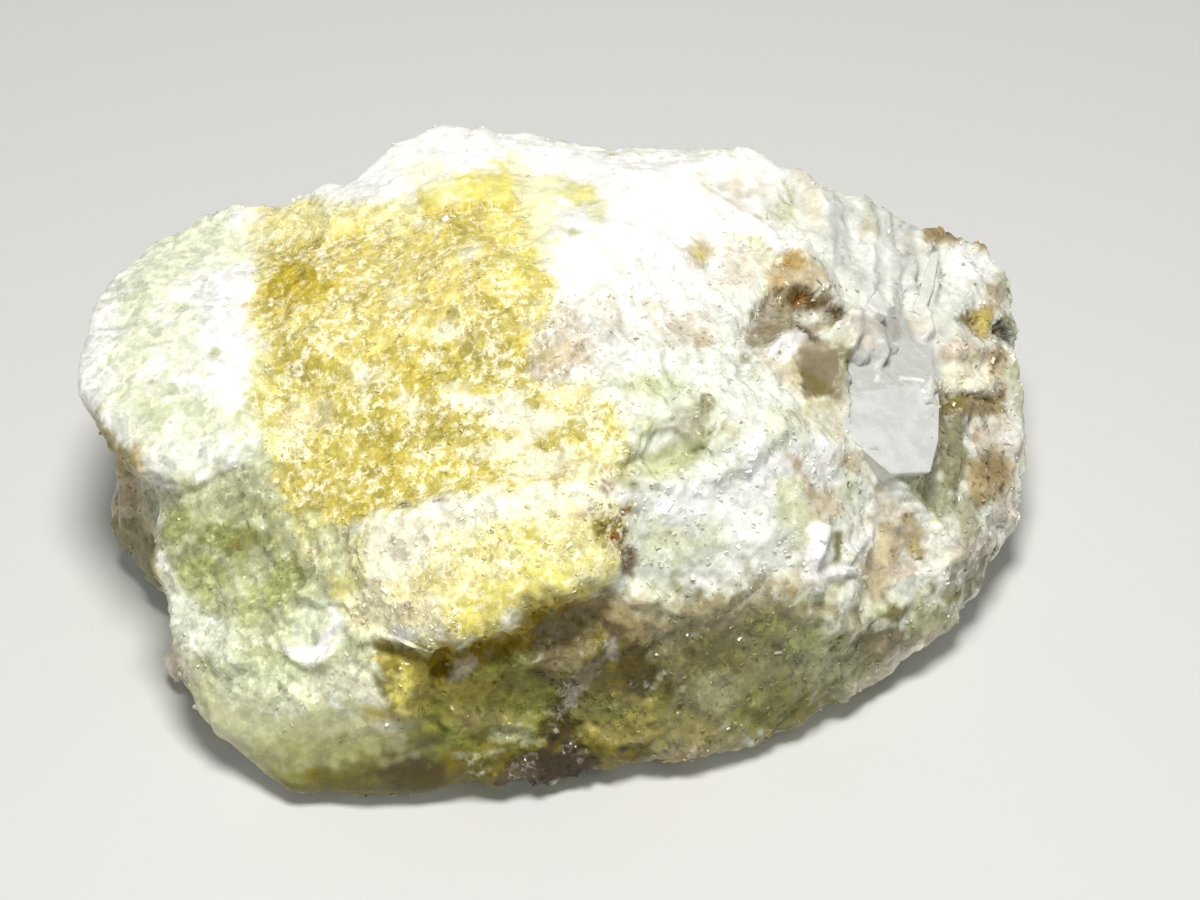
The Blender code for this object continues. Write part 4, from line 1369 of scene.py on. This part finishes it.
# Which kind, colour, how far out of the skin and how thick in millimetres, how its face leans to the
# right and upward, where on the skin it stands, and the outline of its face.
CHIPS = [
    # the clear cleavage block, the part of it that lies deeper, and a crack between them
    ("clear", CLEAR, 0.28, 2.4, (0.0, 0.25), BLOCK_MIDDLE,
     [(843, 402), (856, 392), (900, 386), (938, 384), (940, 402), (939, 440), (931, 472), (892, 474),
      (866, 452), (844, 428)]),
    ("clear", DEEP_CLEAR, 0.22, 2.4, (0.0, 0.25), BLOCK_MIDDLE,
     [(848, 362), (858, 350), (878, 352), (892, 342), (908, 338), (930, 346), (938, 392), (900, 394),
      (850, 400)]),
    ("white", MILK, 0.34, 0.5, (0.0, 0.25), BLOCK_MIDDLE, [(898, 375), (938, 379), (938, 384), (902, 380)]),
    # cleavage cracks and a blade that catch the light
    ("white", MILK, 0.1, 0.5, (0.1, 0.1), (860, 370), [(851, 372), (866, 358), (869, 361), (853, 377)]),
    ("white", MILK, 0.4, 1.2, (-0.2, 0.2), (878, 305), [(868, 304), (878, 289), (889, 316), (878, 312)]),
    ("white", PEARL, 0.4, 1.4, (-0.4, 0.1), (928, 279),
     [(932, 252), (940, 250), (934, 288), (923, 317), (914, 310), (922, 284)]),
]
CHIP_LOOKS = {  # material, how see-through and how rough
    "clear": ("clear_datolite", 0.28, 0.12), "white": ("milky_datolite", 0.08, 0.2),
}
FOOTING = 40  # how many of the skin's nearest points a chip stands on
WELL_SEEN, HIDDEN_AWAY = 0.6, 1e3  # a point less seen counts as this many pixels further off
TAPER = 0.85  # how large a chip's hidden back is beside its face
CHIP_BEVEL = 0.08


def ray_through(x, y):
    """The direction from the camera through a place in the picture."""
    way = (x - PICTURE[0] / 2) / FOCAL * RIGHT - (y - PICTURE[1] / 2) / FOCAL * UPWARD - TOWARDS
    return way / np.linalg.norm(way)


def add_chip(shape, outline, spot, facing, depth):
    """A flat-faced crystal: the outline where it meets the face's plane, and a smaller one behind it."""
    front = [EYE + ray * ((spot - EYE) @ facing) / (ray @ facing)
             for ray in (ray_through(x, y) for x, y in outline)]
    middle = np.mean(front, 0)
    back = [middle + TAPER * (corner - middle) - depth * facing for corner in front]
    rings = [[shape.verts.new(corner * MM) for corner in ring] for ring in (front, back)]
    faces = [shape.faces.new(rings[0]), shape.faces.new(rings[1][::-1])]
    for one in range(len(outline)):
        other = (one + 1) % len(outline)
        faces.append(shape.faces.new([rings[0][other], rings[0][one], rings[1][one], rings[1][other]]))
    bmesh.ops.recalc_face_normals(shape, faces=faces)
    edges = list({edge for face in faces for edge in face.edges})
    bmesh.ops.bevel(shape, geom=edges, offset=CHIP_BEVEL * MM, segments=1, affect="EDGES")


def chip_mesh(kind, points, normals, seen):
    """One mesh of all the single crystals of a kind."""
    spots = in_picture(points)
    shape = bmesh.new()
    tint = shape.verts.layers.float_color.new("tint")
    for _, colour, out, depth, (right, up), stands, outline in (chip for chip in CHIPS if chip[0] == kind):
        away = np.hypot(*(spots - np.array(stands)).T) + HIDDEN_AWAY * (seen < WELL_SEEN)
        near = np.argsort(away)[:FOOTING]
        facing = normals[near].mean(0) + right * RIGHT + up * UPWARD
        facing /= np.linalg.norm(facing)
        before = len(shape.verts)
        add_chip(shape, outline, points[near].mean(0) + out * facing, facing, depth)
        shape.verts.ensure_lookup_table()
        for point in shape.verts[before:]:
            point[tint] = opaque(colour)
    mesh = bpy.data.meshes.new(f"{kind}_crystals")
    shape.to_mesh(mesh)
    shape.free()
    mesh.shade_flat()
    return mesh


def add_chips(points, normals, seen):
    """The single crystals, one piece for each kind."""
    for kind, looks in CHIP_LOOKS.items():
        mesh = chip_mesh(kind, points, normals, seen)
        mesh.materials.append(glassy_material(*looks))
        crystals_of_kind = place(f"{kind}_crystals", mesh)
        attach(crystals_of_kind, "root")


# ================================================================ stage, in millimetres and watts
FLOOR_REACH, FLOOR_DROP = 1500.0, 0.02
FLOOR_COLOUR, FLOOR_ROUGHNESS = (0.68, 0.68, 0.67, 1), 0.85
ROOM_COLOUR, ROOM_STRENGTH = (0.98, 0.99, 1.0, 1), 0.22
LIGHTS = [  # name, place, width, power and colour
    ("key", (2, -66, 294), 90, 0.90, (1.0, 0.985, 0.95)),
    ("fill", (150, -200, 180), 260, 0.03, (0.9, 0.95, 1.0)),
]


def turn_to(thing, way):
    """Turn a lamp or camera so that its back is towards a direction."""
    thing.rotation_mode = "QUATERNION"
    thing.rotation_quaternion = Vector(way).to_track_quat("Z", "Y")


def make_floor():
    """A pale plain, just under the stone."""
    floor = place("floor", bpy.data.meshes.new("floor"))
    shape = bmesh.new()
    bmesh.ops.create_grid(shape, x_segments=1, y_segments=1, size=FLOOR_REACH * MM)
    shape.to_mesh(floor.data)
    shape.free()
    paper, tree, shader = new_material("pale_floor")
    feed(tree, shader, {"Base Color": FLOOR_COLOUR, "Roughness": FLOOR_ROUGHNESS})
    floor.data.materials.append(paper)
    floor.location.z = -FLOOR_DROP * MM


def make_room():
    """Even light from all sides, and the lamps."""
    world = bpy.data.worlds.new("soft_room")
    world.use_nodes = True
    feed(world.node_tree, world.node_tree.nodes["Background"],
         {"Color": ROOM_COLOUR, "Strength": ROOM_STRENGTH})
    bpy.context.scene.world = world
    for name, stands, width, power, colour in LIGHTS:
        light = bpy.data.lights.new(name, "AREA")
        light.shape = "DISK"
        light.size = width * MM
        light.energy = power
        light.color = colour
        lamp = place(name, light)
        lamp.location = Vector(stands) * MM
        turn_to(lamp, Vector(stands) - Vector(AIM))


def make_camera():
    """The camera that all the outlines in the picture are drawn for."""
    lens = bpy.data.cameras.new("camera")
    lens.lens = LENS
    lens.sensor_width = SENSOR
    lens.clip_start = NEAREST * MM
    camera = place("camera", lens)
    camera.location = Vector(EYE) * MM
    turn_to(camera, TOWARDS)
    bpy.context.scene.camera = camera
    bpy.context.scene.view_settings.view_transform = "Standard"


def add_stone(mesh, points, colour, amounts):
    """The sculpted and painted stone itself."""
    mesh.vertices.foreach_set("co", (points * MM).astype(np.float32).ravel())
    mesh.update()
    add_colour(mesh, "tint", colour)
    add_colour(mesh, "grain", np.stack(amounts, 1))
    stone = place("datolite_stone", mesh)
    mesh.shade_smooth()
    mesh.materials.append(stone_material())
    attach(stone, "root")
    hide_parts("datolite_crystal")


def main():
    mesh = fine_skin()
    edges, triangles = edges_of(mesh), triangles_of(mesh)
    points, seen, normals, numbers, relief = sculpted(points_of(mesh), edges, triangles)
    colour, amounts = painted(points, seen, numbers, relief)
    add_stone(mesh, points, colour, amounts)
    add_grains(points, triangles, seen, colour, amounts)
    add_chips(points, normals, seen)
    make_floor()
    make_room()
    make_camera()


main()
